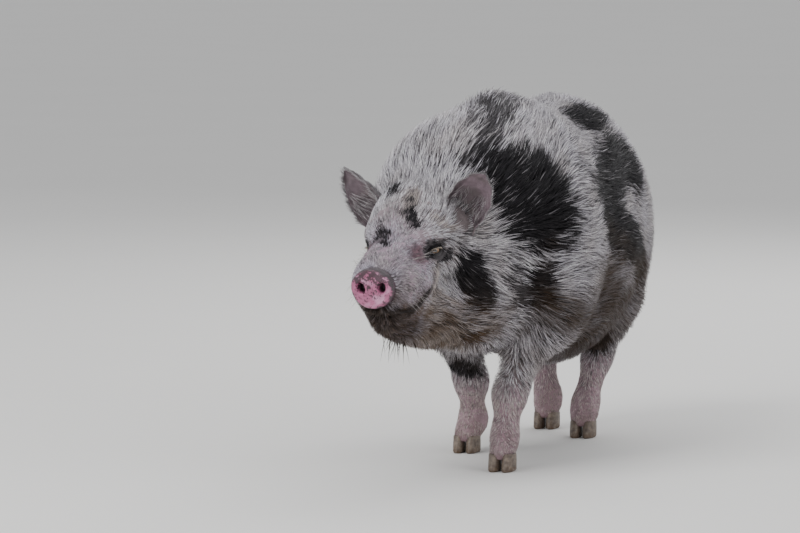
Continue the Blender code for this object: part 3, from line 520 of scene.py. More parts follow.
def wet_mud_and_shade(points):
    """How dark each point is from wet mud and painted shade: mouth's corner, lips, under the disc, chin and
    belly.
    """
    local = in_frame(HEAD, points)
    back = local[:, 1] + 0.134
    corner = hump(back, 0.028) * hump(local[:, 2] + 0.082 - 0.75 * back, 0.0115)
    lip = hump(mouth_line(local), 0.0060) * ramp(-local[:, 1], 0.095, 0.105)
    under_disc = ramp(-local[:, 1], 0.140, 0.165) * (1 - ramp(local[:, 2], -0.092, -0.074))
    chin = 0.75 * ramp(-local[:, 1], 0.085, 0.120) * (1 - ramp(local[:, 2], -0.118, -0.090))
    dark = np.maximum.reduce([2.2 * corner, 1.2 * lip, under_disc, chin])
    dark *= 0.85 + 0.35 * ripple(points, 0.009, 28)
    return np.clip(np.maximum(dark, 0.55 * belly_mud_and_shade(points)), 0, 1)


def mixed(first, second, share):
    """At each point, a colour between two others, which are one for all points or one for each."""
    first = np.asarray(first)
    return first + (np.asarray(second) - first) * share[:, None]


def skin_tone(points):
    """The hide's colour at each point, with patches and mud, and painted shade at the mouth, lids, jaw and
    belly.
    """
    local = in_frame(HEAD, points)
    dark_rim_and_shade, pink_corner = eye_marks_and_shade(points)
    leg = 1 - ramp(points[:, 2], 0.09, 0.17)
    lilac = np.maximum(ramp(-local[:, 1], 0.09, 0.14), leg)
    colour = mixed(GREY_SKIN, LILAC_SKIN, lilac)
    colour = mixed(colour, PINK_SKIN, 0.10 * lilac + 0.30 * leg)
    colour = mixed(colour, EYE_PINK, 0.9 * pink_corner)
    # Black patches; the one on the upper far foreleg is painted shadow.
    colour = mixed(colour, BLACK_SKIN, 0.9 * in_patches(points, BLACK_PATCHES_AND_LEG_SHADOW))
    colour = mixed(colour, BLACK_SKIN, 0.8 * smudges(points))
    # The eye rims: dark skin with painted shade on the upper lids.
    colour = mixed(colour, EYE_RIM_AND_SHADE, 0.95 * dark_rim_and_shade)
    # Mud, which under the jaw and low on the body is partly painted shade.
    colour = mixed(colour, MUD, 0.85 * mud_and_shade_cover(points))
    # Wet mud and painted shade in the mouth's corner, along the lips, under the disc, on the chin and the
    # belly.
    colour = mixed(colour, WET_MUD_AND_SHADE, 0.85 * wet_mud_and_shade(points))
    # The mouth's line is painted near-black: painted shade inside the mouth.
    mouth = hump(mouth_line(local), 0.0048) * ramp(-local[:, 1], 0.094, 0.108)
    return mixed(colour, MOUTH_SHADE, mouth)


def paint(data, name, colours):
    """Stores one colour at each vertex."""
    layer = data.color_attributes.new(name, "FLOAT_COLOR", "POINT")
    values = np.ones((len(colours), 4), np.float32)
    values[:, :3] = np.clip(colours, 0, 1)
    layer.data.foreach_set("color", values.ravel())


def new_group(name, inputs, outputs):
    """A node group with these sockets, and its input and output nodes."""
    group = bpy.data.node_groups.new(name, "ShaderNodeTree")
    for in_out, sockets in (("INPUT", inputs), ("OUTPUT", outputs)):
        for socket_name, kind, value in sockets:
            socket = group.interface.new_socket(socket_name, in_out=in_out, socket_type=kind)
            if value is not None:
                socket.default_value = value
    return group, group.nodes.new("NodeGroupInput"), group.nodes.new("NodeGroupOutput")


def wire(tree, node, **values):
    """Links sockets or stores values in a node's inputs, by name with _ for a space, or as n and a number."""
    for key, value in values.items():
        numbered = key[0] == "n" and key[1:].isdigit()
        socket = node.inputs[int(key[1:]) if numbered else key.replace("_", " ")]
        if isinstance(value, bpy.types.NodeSocket):
            tree.links.new(value, socket)
        else:
            socket.default_value = value
    return node


def noise(tree, vector, scale, detail=3.0, roughness=0.55):
    node = tree.nodes.new("ShaderNodeTexNoise")
    return wire(tree, node, Vector=vector, Scale=scale, Detail=detail, Roughness=roughness).outputs["Fac"]


def blend(tree, kind, share, first, second):
    """Mixes two colours."""
    node = tree.nodes.new("ShaderNodeMix")
    node.data_type = "RGBA"
    node.blend_type = kind
    wire(tree, node, n0=share, n6=first, n7=second)
    return node.outputs[2]


def stretch(tree, value, low, high, to_low=0.0, to_high=1.0):
    """A value's range from low to high spread over another range."""
    node = tree.nodes.new("ShaderNodeMapRange")
    wire(tree, node, Value=value, From_Min=low, From_Max=high, To_Min=to_low, To_Max=to_high)
    return node.outputs[0]


def make_mottle():
    """Fine change of colour over any hide or horn: pale and dark specks of two sizes."""
    colour_in, place_in = ("Color", "NodeSocketColor", None), ("Vector", "NodeSocketVector", None)
    amount_in, height_out = ("Amount", "NodeSocketFloat", 0.3), ("Height", "NodeSocketFloat", None)
    group, given, out = new_group("mottle", (colour_in, place_in, amount_in), (colour_in, height_out))
    amount = given.outputs["Amount"]
    broad = noise(group, given.outputs["Vector"], 90.0)
    fine = noise(group, given.outputs["Vector"], 520.0, 2.0)
    broad_tone = stretch(group, broad, 0.3, 0.7, 0.35, 1.3)
    fine_tone = stretch(group, fine, 0.3, 0.7, 0.6, 1.25)
    dark = blend(group, "MULTIPLY", amount, given.outputs["Color"], broad_tone)
    done = blend(group, "MULTIPLY", amount, dark, fine_tone)
    group.links.new(done, out.inputs["Color"])
    group.links.new(fine, out.inputs["Height"])
    return group


mottle = make_mottle()


def new_material(name, roughness, **constants):
    """A material with its tree, its shader and its object coordinates. Plain numbers go on the shader."""
    material = bpy.data.materials.new(name)
    material.use_nodes = True
    tree = material.node_tree
    shader = tree.nodes["Principled BSDF"]
    shader.inputs["Roughness"].default_value = roughness
    for key, value in constants.items():
        shader.inputs[key.replace("_", " ")].default_value = value
    return material, tree, shader, tree.nodes.new("ShaderNodeTexCoord").outputs["Object"]


def painted(tree, layer):
    """The colour that is stored at each vertex under this name."""
    node = tree.nodes.new("ShaderNodeVertexColor")
    node.layer_name = layer
    return node.outputs["Color"]


def mottled(tree, colour, coordinates, amount):
    node = tree.nodes.new("ShaderNodeGroup")
    node.node_tree = mottle
    return wire(tree, node, Color=colour, Vector=coordinates, Amount=amount)


def hide_material(name, roughness, grain, strength, amount=0.45, **constants):
    """Hide: its painted colour, mottled, over a fine net of wrinkles."""
    material, tree, shader, coordinates = new_material(name, roughness, **constants)
    speckled = mottled(tree, painted(tree, "tone"), coordinates, amount)
    cells = tree.nodes.new("ShaderNodeTexVoronoi")
    cells.feature = "DISTANCE_TO_EDGE"
    wire(tree, cells, Vector=coordinates, Scale=grain)
    net = stretch(tree, cells.outputs["Distance"], 0.0, 0.12)
    bump = tree.nodes.new("ShaderNodeBump")
    wire(tree, bump, Strength=strength, Distance=0.0006, Height=net)
    finer = tree.nodes.new("ShaderNodeBump")
    wire(tree, finer, Strength=0.35, Distance=0.0004, Height=speckled.outputs["Height"])
    wire(tree, finer, Normal=bump.outputs["Normal"])
    wire(tree, shader, Base_Color=speckled.outputs["Color"], Normal=finer.outputs["Normal"])
    return material


hide = hide_material("pig_hide", 0.62, 420.0, 0.5)
paint(skin.data, "tone", skin_tone(vertices_of(skin.data)))
skin.data.materials.append(hide)
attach(skin, "root")
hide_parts("torso", "neck", "head", "lower_jaw", *LEGS)

# The eyes are small, amber-brown and wet, and sit deep. Each has thick lids, which are folds of the same
# hide: they run out over the socket's rim and meet the skin there, with a crease above and a bag below.
EYE_ROUND = 48
LID_THICKNESS = 0.0026
LID_HALF_WIDTH = 0.0118
LID_UPPER = 0.0040
LID_LOWER = 0.0035
LID_OUTER = (0.0225, 0.0185)
LID_SHARES = (0.0, 0.0, 0.03, 0.10, 0.18, 0.27, 0.36, 0.45, 0.55, 0.66, 0.78, 0.90, 1.0)
# The lids' dark edge by the slit: dark lid skin with painted shade.
LID_RIM_AND_SHADE = (0.012, 0.010, 0.011)
IRIS_PALE = (0.36, 0.21, 0.11)
IRIS_DARK = (0.17, 0.090, 0.045)
PUPIL = (0.006, 0.004, 0.004)
IRIS_EDGE = (0.010, 0.006, 0.005)
EYE_WHITE = (0.20, 0.15, 0.12)


def next_ring(mesh, ring, places):
    """Extrudes a closed ring of vertices to new places and gives the new ring in the same order."""
    edges = [mesh.edges.get((one, other)) for one, other in zip(ring, ring[1:] + ring[:1])]
    made = set(bmesh.ops.extrude_edge_only(mesh, edges=edges)["geom"])
    after = []
    for vert, at in zip(ring, places):
        ends = [edge.other_vert(vert) for edge in vert.link_edges]
        after.append(next(end for end in ends if end in made))
        after[-1].co = at
    return after


def loft(loops, close_start=False, close_end=False):
    """A bmesh skin through closed loops of places, each with the same count."""
    mesh = bmesh.new()
    ring = bmesh.ops.create_circle(mesh, segments=len(loops[0]), radius=1.0)["verts"]
    for vert, at in zip(ring, loops[0]):
        vert.co = at
    first = ring
    for places in loops[1:]:
        ring = next_ring(mesh, ring, places)
    if close_start:
        mesh.faces.new(first)
    if close_end:
        mesh.faces.new(ring)
    bmesh.ops.recalc_face_normals(mesh, faces=mesh.faces)
    return mesh


def skin_depth(frame, across, up):
    """Where the smooth skin lies along an eye's own axis, at each place across it."""
    at = np.stack([across, np.full_like(across, -EYE_RADIUS), up], 1)
    for _ in range(10):
        world = out_of_frame(frame, at)
        at[:, 1] += 0.8 * (flesh.distance(world) + coat_depth(world))
    return at[:, 1]


def make_lids(side_name, frame):
    turns = np.arange(EYE_ROUND) * math.tau / EYE_ROUND
    rise = np.where(np.sin(turns) > 0, LID_UPPER, LID_LOWER)
    slit = np.stack([LID_HALF_WIDTH * np.cos(turns), rise * np.sin(turns) * np.abs(np.sin(turns)) ** 0.2], 1)
    outer = np.stack([LID_OUTER[0] * np.cos(turns), LID_OUTER[1] * np.sin(turns)], 1)
    loops = []
    for row, share in enumerate(LID_SHARES):
        flat = slit + (outer - slit) * share
        lift = 0.0002 if row == 0 else LID_THICKNESS * min(1.0, 0.70 + 4 * share)
        ball = (EYE_RADIUS + lift) ** 2 - flat[:, 0] ** 2 - flat[:, 1] ** 2
        bulge = -np.sqrt(np.maximum(ball, 0.0045**2))
        depth = bulge + (skin_depth(frame, flat[:, 0], flat[:, 1]) - bulge) * ramp(share, 0.22, 0.66)
        upper = ramp(np.sin(turns), 0.0, 0.5)
        crease = hump(share - 0.30, 0.07) * upper + 0.7 * hump(share - 0.45, 0.07) * (1 - upper)
        fold = hump(share - 0.46, 0.09) * upper
        depth += 0.0017 * crease - 0.0015 * fold + 0.0009 * ramp(share, 0.93, 1.0)
        depth -= 0.0003 * np.sin(turns * 11 + 2) * ramp(share, 0.05, 0.3) * (1 - ramp(share, 0.6, 0.9))
        loops.append([frame @ Vector((x, y, z)) for (x, z), y in zip(flat, depth)])
    mesh = loft(loops)
    outward = frame.to_3x3() @ Vector((0, -1, 0))
    if sum(face.normal.dot(outward) for face in mesh.faces) < 0:
        bmesh.ops.reverse_faces(mesh, faces=mesh.faces)
    lids = new_piece(f"eyelids_{side_name}", mesh)
    points = vertices_of(lids.data)
    near = in_frame(frame, points)
    tone = skin_tone(points)
    # Darker towards the slit: dark lid skin with painted shade on the upper lid.
    rim = 1 - ramp(np.hypot(near[:, 0] / 1.6, near[:, 2]), 0.0055, 0.0085)
    paint(lids.data, "tone", mixed(tone, LID_RIM_AND_SHADE, 0.8 * rim))
    lids.data.materials.append(lid_hide)
    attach(lids, "root")


def make_eye(side_name, frame):
    mesh = bmesh.new()
    poles_forward = frame @ Matrix.Rotation(math.pi / 2, 4, "X")
    bmesh.ops.create_uvsphere(mesh, u_segments=48, v_segments=32, radius=EYE_RADIUS, matrix=poles_forward)
    eye = new_piece(f"eyeball_{side_name}", mesh)
    points = vertices_of(eye.data)
    near = in_frame(frame, points)
    around = np.arctan2(near[:, 2], near[:, 0])
    away = np.hypot(near[:, 0] / 1.15, near[:, 2])
    streaks = 0.5 + 0.5 * np.sin(around * 23 + 3 * np.sin(around * 7))
    colour = mixed(IRIS_PALE, IRIS_DARK, streaks)
    colour = mixed(colour, PUPIL, 1 - ramp(away, 0.0022, 0.0028))
    colour = mixed(colour, IRIS_EDGE, ramp(away, 0.0052, 0.0062))
    colour = mixed(colour, EYE_WHITE, ramp(away, 0.0075, 0.0090))
    paint(eye.data, "iris", colour * (near[:, 1] < 0)[:, None])
    eye.data.materials.append(wet_eye)
    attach(eye, "root")
    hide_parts(f"eye_{side_name}")


lid_hide = hide_material("eyelid_hide", 0.62, 700.0, 0.35)
wet_eye, tree, shader, _ = new_material("wet_eye", 0.06, Coat_Weight=1.0, Coat_Roughness=0.02)
wire(tree, shader, Base_Color=painted(tree, "iris"))
for side_name, frame_of_eye in eye_frames():
    make_lids(side_name, frame_of_eye)
    make_eye(side_name, frame_of_eye)

# The snout disc is the flat, bare end of the nose: a pad of gristle under thick, moist, pink skin with dark
# flecks. Its rim stands up all round, the two nostrils go deep, and a shallow groove runs down between them.
SNOUT_WIDTH = 0.075
SNOUT_HEIGHT = 0.066
SNOUT_ROUND = 112
SNOUT_RIM = (
    (-0.004, 0.90),
    (0.000, 0.945),
    (0.004, 0.985),
    (0.009, 1.0),
    (0.0135, 0.993),
    (0.0170, 0.965),
    (0.0192, 0.92),
)
SNOUT_FACE = 0.0195
NOSTRIL_APART = 0.037
NOSTRIL_HALF = (0.0068, 0.0088)
NOSTRIL_DEEP = 0.0130
NOSTRIL_TURN = 0.30
SNOUT_PINK = (0.45, 0.130, 0.250)
# Pale pink that stands for painted highlights on the moist disc.
SNOUT_HIGHLIGHT = (0.60, 0.28, 0.43)
SNOUT_DARK = (0.036, 0.018, 0.024)
SNOUT_EDGE = (0.045, 0.034, 0.040)
SNOUT_SIDE = (0.048, 0.036, 0.041)
# Near-black painted shade in the nostrils.
NOSTRIL_SHADE = (0.010, 0.005, 0.006)


def snout_relief(flat):
    """How far the disc's face stands out at each place (across, up), and how much painted shade fills the
    nostrils there.
    """
    across, up = flat[:, 0], flat[:, 1]
    reach = np.hypot(across / (SNOUT_WIDTH / 2), up / (SNOUT_HEIGHT / 2))
    face = np.column_stack([flat, np.zeros(len(flat))])
    height = 0.0016 * ramp(reach, 0.55, 0.88)
    height += 0.0006 * ripple(face, 0.016, 31) + 0.00025 * ripple(face, 0.004, 32)
    dark = np.zeros(len(flat))
    for side in (1, -1):
        x = across - side * NOSTRIL_APART / 2
        y = up - 0.0015
        cosine, sine = math.cos(NOSTRIL_TURN * side), math.sin(NOSTRIL_TURN * side)
        turned = x * cosine - y * sine
        along = x * sine + y * cosine
        hole = np.hypot(turned / NOSTRIL_HALF[0], along / NOSTRIL_HALF[1])
        height -= NOSTRIL_DEEP * (1 - ramp(hole, 0.45, 1.15))
        height += 0.0013 * hump(hole - 1.45, 0.30)
        dark = np.maximum(dark, 1 - ramp(hole, 0.70, 1.02))
    groove = hump(across, 0.0022) * (1 - ramp(up, -0.004, 0.010)) * ramp(up, -0.033, -0.020)
    return height - 0.0012 * groove, dark


def make_snout():
    turns = np.arange(SNOUT_ROUND) * math.tau / SNOUT_ROUND
    half_width = SNOUT_WIDTH / 2 * (1 + 0.05 * np.sin(turns))
    outline = np.stack([half_width * np.cos(turns), SNOUT_HEIGHT / 2 * np.sin(turns)], 1)
    rings = [*SNOUT_RIM, *((SNOUT_FACE, share) for share in np.linspace(0.885, 0.02, 40))]
    loops = []
    for depth, share in rings:
        flat = outline * share
        relief, _ = snout_relief(flat)
        lift = relief * ramp(depth, 0.009, SNOUT_FACE)
        loops.append([SNOUT @ Vector((x, -depth - rise, z)) for (x, z), rise in zip(flat, lift)])
    disc = new_piece("snout_pad", loft(loops, close_start=True, close_end=True))
    points = vertices_of(disc.data)
    near = in_frame(SNOUT, points)
    flat = near[:, [0, 2]]
    _, hole = snout_relief(flat)
    reach = np.hypot(flat[:, 0] / (SNOUT_WIDTH / 2), flat[:, 1] / (SNOUT_HEIGHT / 2))
    speck = ripple(points, 0.0100, 33) + 0.7 * ripple(points, 0.0042, 36) + 0.5 * ripple(points, 0.0020, 34)
    flecked = 0.85 * hump(flat[:, 0], 0.009) * hump(flat[:, 1] + 0.008, 0.012)
    flecked += ramp(flat[:, 1], 0.002, 0.018) + 0.35 * ramp(reach, 0.78, 0.95)
    flecked += 0.80 * hump(np.abs(flat[:, 0]) - 0.018, 0.009) * hump(flat[:, 1] - 0.006, 0.010)
    # Pale patches scattered over the disc are painted highlights on its moist skin.
    colour = mixed(SNOUT_PINK, SNOUT_HIGHLIGHT, ramp(ripple(points, 0.02, 35), 0.0, 1.2))
    colour = mixed(colour, SNOUT_DARK, 0.90 * ramp(speck + 1.9 * flecked, 1.10, 1.55))
    edge = ramp(reach + 0.02 * speck, 0.915, 0.965) * (1 - 0.75 * ramp(near[:, 1], -0.013, -0.010))
    colour = mixed(colour, SNOUT_EDGE, 0.95 * edge)
    colour = mixed(colour, SNOUT_SIDE, 0.85 * ramp(near[:, 1], -0.014, -0.009) * (reach > 0.85))
    # The nostrils are painted near-black: painted shade in the deep holes.
    paint(disc.data, "tone", mixed(colour, NOSTRIL_SHADE, hole))
    disc.data.materials.append(snout_hide)
    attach(disc, "root")
    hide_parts("snout_disc")


snout_hide = hide_material("snout_hide", 0.34, 900.0, 0.45, 0.25, Coat_Weight=0.25, Coat_Roughness=0.25)
make_snout()

# The ears are upright leaves of thin gristle between two layers of hide, curled into cups that open forwards
# and outwards. Inside they are bare and lilac-pink with a shadow towards the root. Their backs are furred.
EAR_ROOT = (0.076, -0.036, 0.046)
EAR_AIM = (0.55, -0.08, 0.83)
EAR_FACE = (0.45, -0.89, 0.10)
EAR_LENGTH = 0.098
EAR_WIDTH = 0.066
EAR_THICKNESS = 0.0045
EAR_BURIED = -0.22
EAR_CURL = (88, 40)
EAR_FULLNESS = {1: 3.0, -1: 2.2}
EAR_BEND = {1: -0.018, -1: 0.006}
EAR_STEPS = 44
EAR_COLUMNS = 30
EAR_PINK = (0.285, 0.212, 0.245)
EAR_SHADE = (0.085, 0.062, 0.072)
EAR_BACK = (0.17, 0.135, 0.14)


def ear_places(side, share, turn_share, depth):
    """World places on an ear: along it, round it from edge to edge, and through the leaf's thickness."""
    along = Vector((side * EAR_AIM[0], *EAR_AIM[1:])).normalized()
    face = Vector((side * EAR_FACE[0], *EAR_FACE[1:]))
    face = (face - face.dot(along) * along).normalized()
    across = along.cross(face) * side
    up = np.maximum(share, 0)
    half = EAR_WIDTH / 2 * np.maximum(1 - up ** EAR_FULLNESS[side], 0.0) ** 0.65
    half = np.maximum(half * (0.84 + 0.9 * up * (1 - up)), 0.0012)
    curl = np.radians(EAR_CURL[0] + (EAR_CURL[1] - EAR_CURL[0]) * up)
    turn = curl * turn_share
    crimp = 0.0010 * np.sin(share * 21 + 4 * turn_share) * np.abs(turn_share) ** 2
    thick = EAR_THICKNESS * (1 - 0.70 * np.abs(turn_share) ** 3) * (1 - 0.55 * up)
    radius = half / np.sin(curl) + depth * thick + crimp
    sideways = radius * np.sin(turn)
    back = radius * np.cos(turn) - half / np.tan(curl) + EAR_BEND[side] * up**3
    vein = 0.0006 * np.sin(9 * turn_share + 2 * share) * (1 - depth)
    places = np.array((side * EAR_ROOT[0], *EAR_ROOT[1:])) + np.outer(share * EAR_LENGTH, along)
    return out_of_frame(HEAD, places + np.outer(sideways, across) - np.outer(back + vein, face))


def make_ear(side, side_name):
    inner = np.linspace(-1, 1, EAR_COLUMNS + 1)
    edge_turns = np.concatenate([inner, inner[::-1]])
    depths = np.concatenate([np.zeros_like(inner), np.ones_like(inner)])
    loops = []
    for share in np.linspace(EAR_BURIED, 1.0, EAR_STEPS + 1):
        places = ear_places(side, np.full(len(edge_turns), share), edge_turns, depths)
        loops.append([Vector(at) for at in places])
    mesh = loft(loops, close_start=True, close_end=True)
    ear = new_piece(f"ear_leaf_{side_name}", mesh)
    points = vertices_of(ear.data)
    grid_share, grid_turn = np.meshgrid(np.linspace(0, 1, 40), np.linspace(-1, 1, 30))
    tree_inner = KDTree(grid_share.size)
    lining_places = ear_places(side, grid_share.ravel(), grid_turn.ravel(), np.zeros(grid_share.size))
    for index, at in enumerate(lining_places):
        tree_inner.insert(at, index)
    tree_inner.balance()
    nearest = [tree_inner.find(at) for at in points]
    share = np.array([grid_share.ravel()[found[1]] for found in nearest])
    turn = np.array([grid_turn.ravel()[found[1]] for found in nearest])
    inside = 1 - ramp(np.array([found[2] for found in nearest]), 0.0009, 0.0020)
    shade = np.maximum(1 - ramp(share + 0.25 * side * turn, 0.10, 0.75), 0.55 * ramp(-side * turn, 0.3, 1.0))
    shade = np.clip(shade + 0.15 * ripple(points, 0.015, 41), 0, 1)
    lining = mixed(EAR_PINK, EAR_SHADE, shade)
    if side < 0:
        lining = mixed(lining, EAR_SHADE, np.full(len(points), 0.55))
    paint(ear.data, "tone", mixed(EAR_BACK, lining, inside))
    ear.data.materials.append(ear_hide)
    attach(ear, "root")
    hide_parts(f"ear_{side_name}")


ear_hide = hide_material("ear_hide", 0.52, 520.0, 0.35, 0.35)
for side, side_name in SIDES:
    make_ear(side, side_name)

# Each foot stands on two claws of grey-brown horn, grown in fine rings and worn at the sole, with a soft
# roll of skin above each. Two small dewclaws hang behind the pastern.
CLAW_APART = 0.0242
CLAW_TURN = -3
CLAW_ROUND = 36
CLAW_RINGS = (
    (0.0, 0.0072, 0.0252, 0.0155),
    (0.0008, 0.0088, 0.0273, 0.0174),
    (0.003, 0.0102, 0.0288, 0.0194),
    (0.010, 0.0104, 0.0266, 0.0198),
    (0.018, 0.0105, 0.0232, 0.0200),
    (0.024, 0.0102, 0.0205, 0.0198),
    (0.027, 0.0104, 0.0196, 0.0199),
    (0.0297, 0.0092, 0.0175, 0.0187),
)
DEWCLAW_APART = 0.025
DEWCLAW_RADIUS = 0.0075
DEWCLAW_PATH = ((0, -0.012, 0.010), (0, 0, 0.004), (0, 0.008, -0.008), (0, 0.010, -0.018))
DEWCLAW_TAPER = (0.9, 1.0, 0.8, 0.35)
HEEL_BACK = 0.020
HORN = (0.105, 0.078, 0.062)
HORN_PALE = (0.24, 0.19, 0.15)


def tube_loops(path, radii, sides):
    """Round loops of changing radius along a smooth path through a few places."""
    path = np.array([tuple(point) for point in path])
    spread = np.linspace(0, len(path) - 1, (len(path) - 1) * 5 + 1)
    smooth = []
    for value in spread:
        index = min(int(value), len(path) - 2)
        part = value - index
        before, start, end, after = path[np.clip(np.arange(index - 1, index + 3), 0, len(path) - 1)]
        at = 2 * start + (end - before) * part + (2 * before - 5 * start + 4 * end - after) * part**2
        smooth.append(0.5 * (at + (3 * start - before - 3 * end + after) * part**3))
    radii = np.interp(spread, range(len(path)), radii)
    loops = []
    for index, (at, radius) in enumerate(zip(smooth, radii)):
        along = Vector(smooth[min(index + 1, len(smooth) - 1)] - smooth[max(index - 1, 0)])
        side = along.cross(Vector((0, 1, 0.1))).normalized()
        up = side.cross(along).normalized()
        angles = [math.tau * step / sides for step in range(sides)]
        loops.append([Vector(at) + (math.cos(a) * side + math.sin(a) * up) * float(radius) for a in angles])
    return loops


def horn_material():
    material, tree, shader, coordinates = new_material("hoof_horn", 0.48)
    bands = tree.nodes.new("ShaderNodeTexWave")
    bands.bands_direction = "Z"
    wire(tree, bands, Vector=coordinates, Scale=95.0, Distortion=2.5, Detail=3.0)
    streaks = noise(tree, coordinates, 140.0)
    colour = blend(tree, "MIX", stretch(tree, streaks, 0.35, 0.65), (*HORN, 1), (*HORN_PALE, 1))
    height = tree.nodes.new("ShaderNodeSeparateXYZ")
    wire(tree, height, Vector=coordinates)
    low = stretch(tree, height.outputs["Z"], 0.014, 0.002, 0.15, 0.85)
    dirt = tree.nodes.new("ShaderNodeMath")
    dirt.operation = "MULTIPLY"
    wire(tree, dirt, n0=low, n1=stretch(tree, noise(tree, coordinates, 260.0), 0.35, 0.6))
    dirty = blend(tree, "MIX", dirt.outputs[0], colour, (*MUD, 1))
    speckled = mottled(tree, dirty, coordinates, 0.4)
    bump = tree.nodes.new("ShaderNodeBump")
    wire(tree, bump, Strength=0.45, Distance=0.0005, Height=bands.outputs["Fac"])
    rough = stretch(tree, dirt.outputs[0], 0.0, 1.0, 0.42, 0.85)
    wire(tree, shader, Base_Color=speckled.outputs["Color"], Roughness=rough, Normal=bump.outputs["Normal"])
    return material


def make_foot(name, joints):
    foot, pastern = Vector(joints[-1]), Vector(joints[-2])
    short = name.replace("leg", "")
    for side, side_name in SIDES:
        at = WORLD @ place((foot.x + side * CLAW_APART / 2, foot.y, 0), yaw=side * CLAW_TURN)
        loops = []
        for height, half, front, back in CLAW_RINGS:
            loop = []
            for step in range(CLAW_ROUND):
                turn = math.tau * step / CLAW_ROUND
                reach = -front if math.sin(turn) > 0 else back
                loop.append(at @ Vector((half * math.cos(turn), reach * abs(math.sin(turn)) ** 0.85, height)))
            loops.append(loop)
        claw = new_piece(f"{short}_hoof_{side_name}", loft(loops, close_start=True, close_end=True))
        claw.data.set_sharp_from_angle(angle=math.radians(50))
        heel = pastern + Vector((side * DEWCLAW_APART / 2, HEEL_BACK, 0))
        path = [WORLD @ (heel + Vector(shift)) for shift in DEWCLAW_PATH]
        radii = [DEWCLAW_RADIUS * share for share in DEWCLAW_TAPER]
        dewclaw = new_piece(f"{short}_dew_hoof_{side_name}", loft(tube_loops(path, radii, 20), True, True))
        for piece in (claw, dewclaw):
            piece.data.materials.append(horn)
            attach(piece, "root")
            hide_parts(piece.name.replace("dew_hoof", "dewclaw").replace("hoof", "claw"))


horn = horn_material()
for name, (side, joints) in LEGS.items():
    make_foot(name, [(side * x, y, z) for x, y, z in joints])

# The tail is a thin, muscular cord in the same hide. It hangs from the top of the rump, swings a little to
# the pig's left and tapers to a blunt end.
TAIL_PATH = (
    (-0.014, 0.585, 0.492),
    (-0.014, 0.640, 0.486),
    (-0.013, 0.672, 0.455),
    (-0.010, 0.682, 0.405),
    (-0.004, 0.680, 0.345),
    (0.004, 0.688, 0.290),
    (0.008, 0.696, 0.262),
)
TAIL_RADII = (0.0165, 0.0145, 0.0118, 0.0092, 0.0074, 0.0060, 0.0030)
tail_loops = tube_loops([WORLD @ Vector(point) for point in TAIL_PATH], TAIL_RADII, 28)
tail = new_piece("tail_cord", loft(tail_loops, close_start=True, close_end=True))
paint(tail.data, "tone", skin_tone(vertices_of(tail.data)))
tail.data.materials.append(hide)
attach(tail, "root")
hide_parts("tail")

# The coat is coarse, wavy bristle, 35 to 55 mm long on the body and shorter on the face and the legs. It
# lies backwards along the body and gathers in small locks. Each tuft is a tapered, three-sided blade.
HAIR_PALE = (0.585, 0.560, 0.605)
HAIR_DARK = (0.028, 0.026, 0.029)
HAIR_SMOKE = (0.095, 0.088, 0.094)
HAIR_GREY = (0.185, 0.172, 0.180)
HAIR_TAN = (0.46, 0.355, 0.255)
HAIR_LILAC = (0.56, 0.51, 0.61)
HAIR_MAUVE = (0.150, 0.085, 0.104)
HAIR_LEG = (0.72, 0.58, 0.58)
HAIR_WARM = (0.44, 0.38, 0.32)
DARK_SHARE = 0.20
BODY_TUFT = (0.047, 0.0018, 0.0038)
LEG_TUFT = (0.012, 0.0013, 0.0029)
FOOT_TUFT = (0.007, 0.0010, 0.0024)
FACE_TUFT = (0.027, 0.0012, 0.0025)
MUZZLE_TUFT = (0.0080, 0.0009, 0.0017)
BEARD_TUFT = (0.026, 0.0014, 0.0028)
SHORT_TUFT = 0.029
BLADE_THICKNESS = 0.42
BARE = 1.0
MOST_TUFTS = 19000
BAKE_PATCH = 0.003
LEAST_RISE = 0.0008
BEARD_RISE = 0.008


def lie(points):
    """The way the hair points at each place: backwards, up the neck, round the jowls and down on the legs."""
    local = in_frame(HEAD, points)
    way = np.zeros_like(points)
    way[:, 1] = 1.0
    y, z = points[:, 1], points[:, 2]
    head = 1 - ramp(local[:, 1], 0.03, 0.09)
    way[:, 2] += 0.55 * (1 - head) * ramp(-y, 0.05, 0.25) * ramp(z, 0.34, 0.46)
    way[:, 2] -= 0.30 * ramp(y, -0.05, 0.15) * (1 - ramp(z, 0.34, 0.50))
    way[:, 2] -= 3.0 * (1 - ramp(z, 0.13, 0.22))
    way[:, 2] -= 1.3 * ramp(y, 0.36, 0.48) * (1 - ramp(z, 0.46, 0.56))
    way[:, 2] += head * 0.9 * ramp(local[:, 2], 0.01, 0.07)
    cheek = (1 - ramp(local[:, 2], -0.05, 0.03)) * ramp(local[:, 2], -0.10, -0.05)
    way[:, 2] -= head * 0.8 * ramp(np.abs(local[:, 0]), 0.03, 0.07) * cheek
    way[:, 0] += head * 0.35 * np.sign(local[:, 0]) * ramp(np.abs(local[:, 0]), 0.01, 0.05)
    way[:, 2] += 0.30 * ripple(points, 0.16, 51)
    way[:, 0] += 0.25 * ripple(points, 0.14, 52)
    return way


def beard(points):
    """How much each point belongs to the shaggy underside of the chin and the jaw."""
    local = in_frame(HEAD, points)
    return ramp(-local[:, 1], -0.02, 0.08) * (1 - ramp(local[:, 2], -0.128, -0.098))


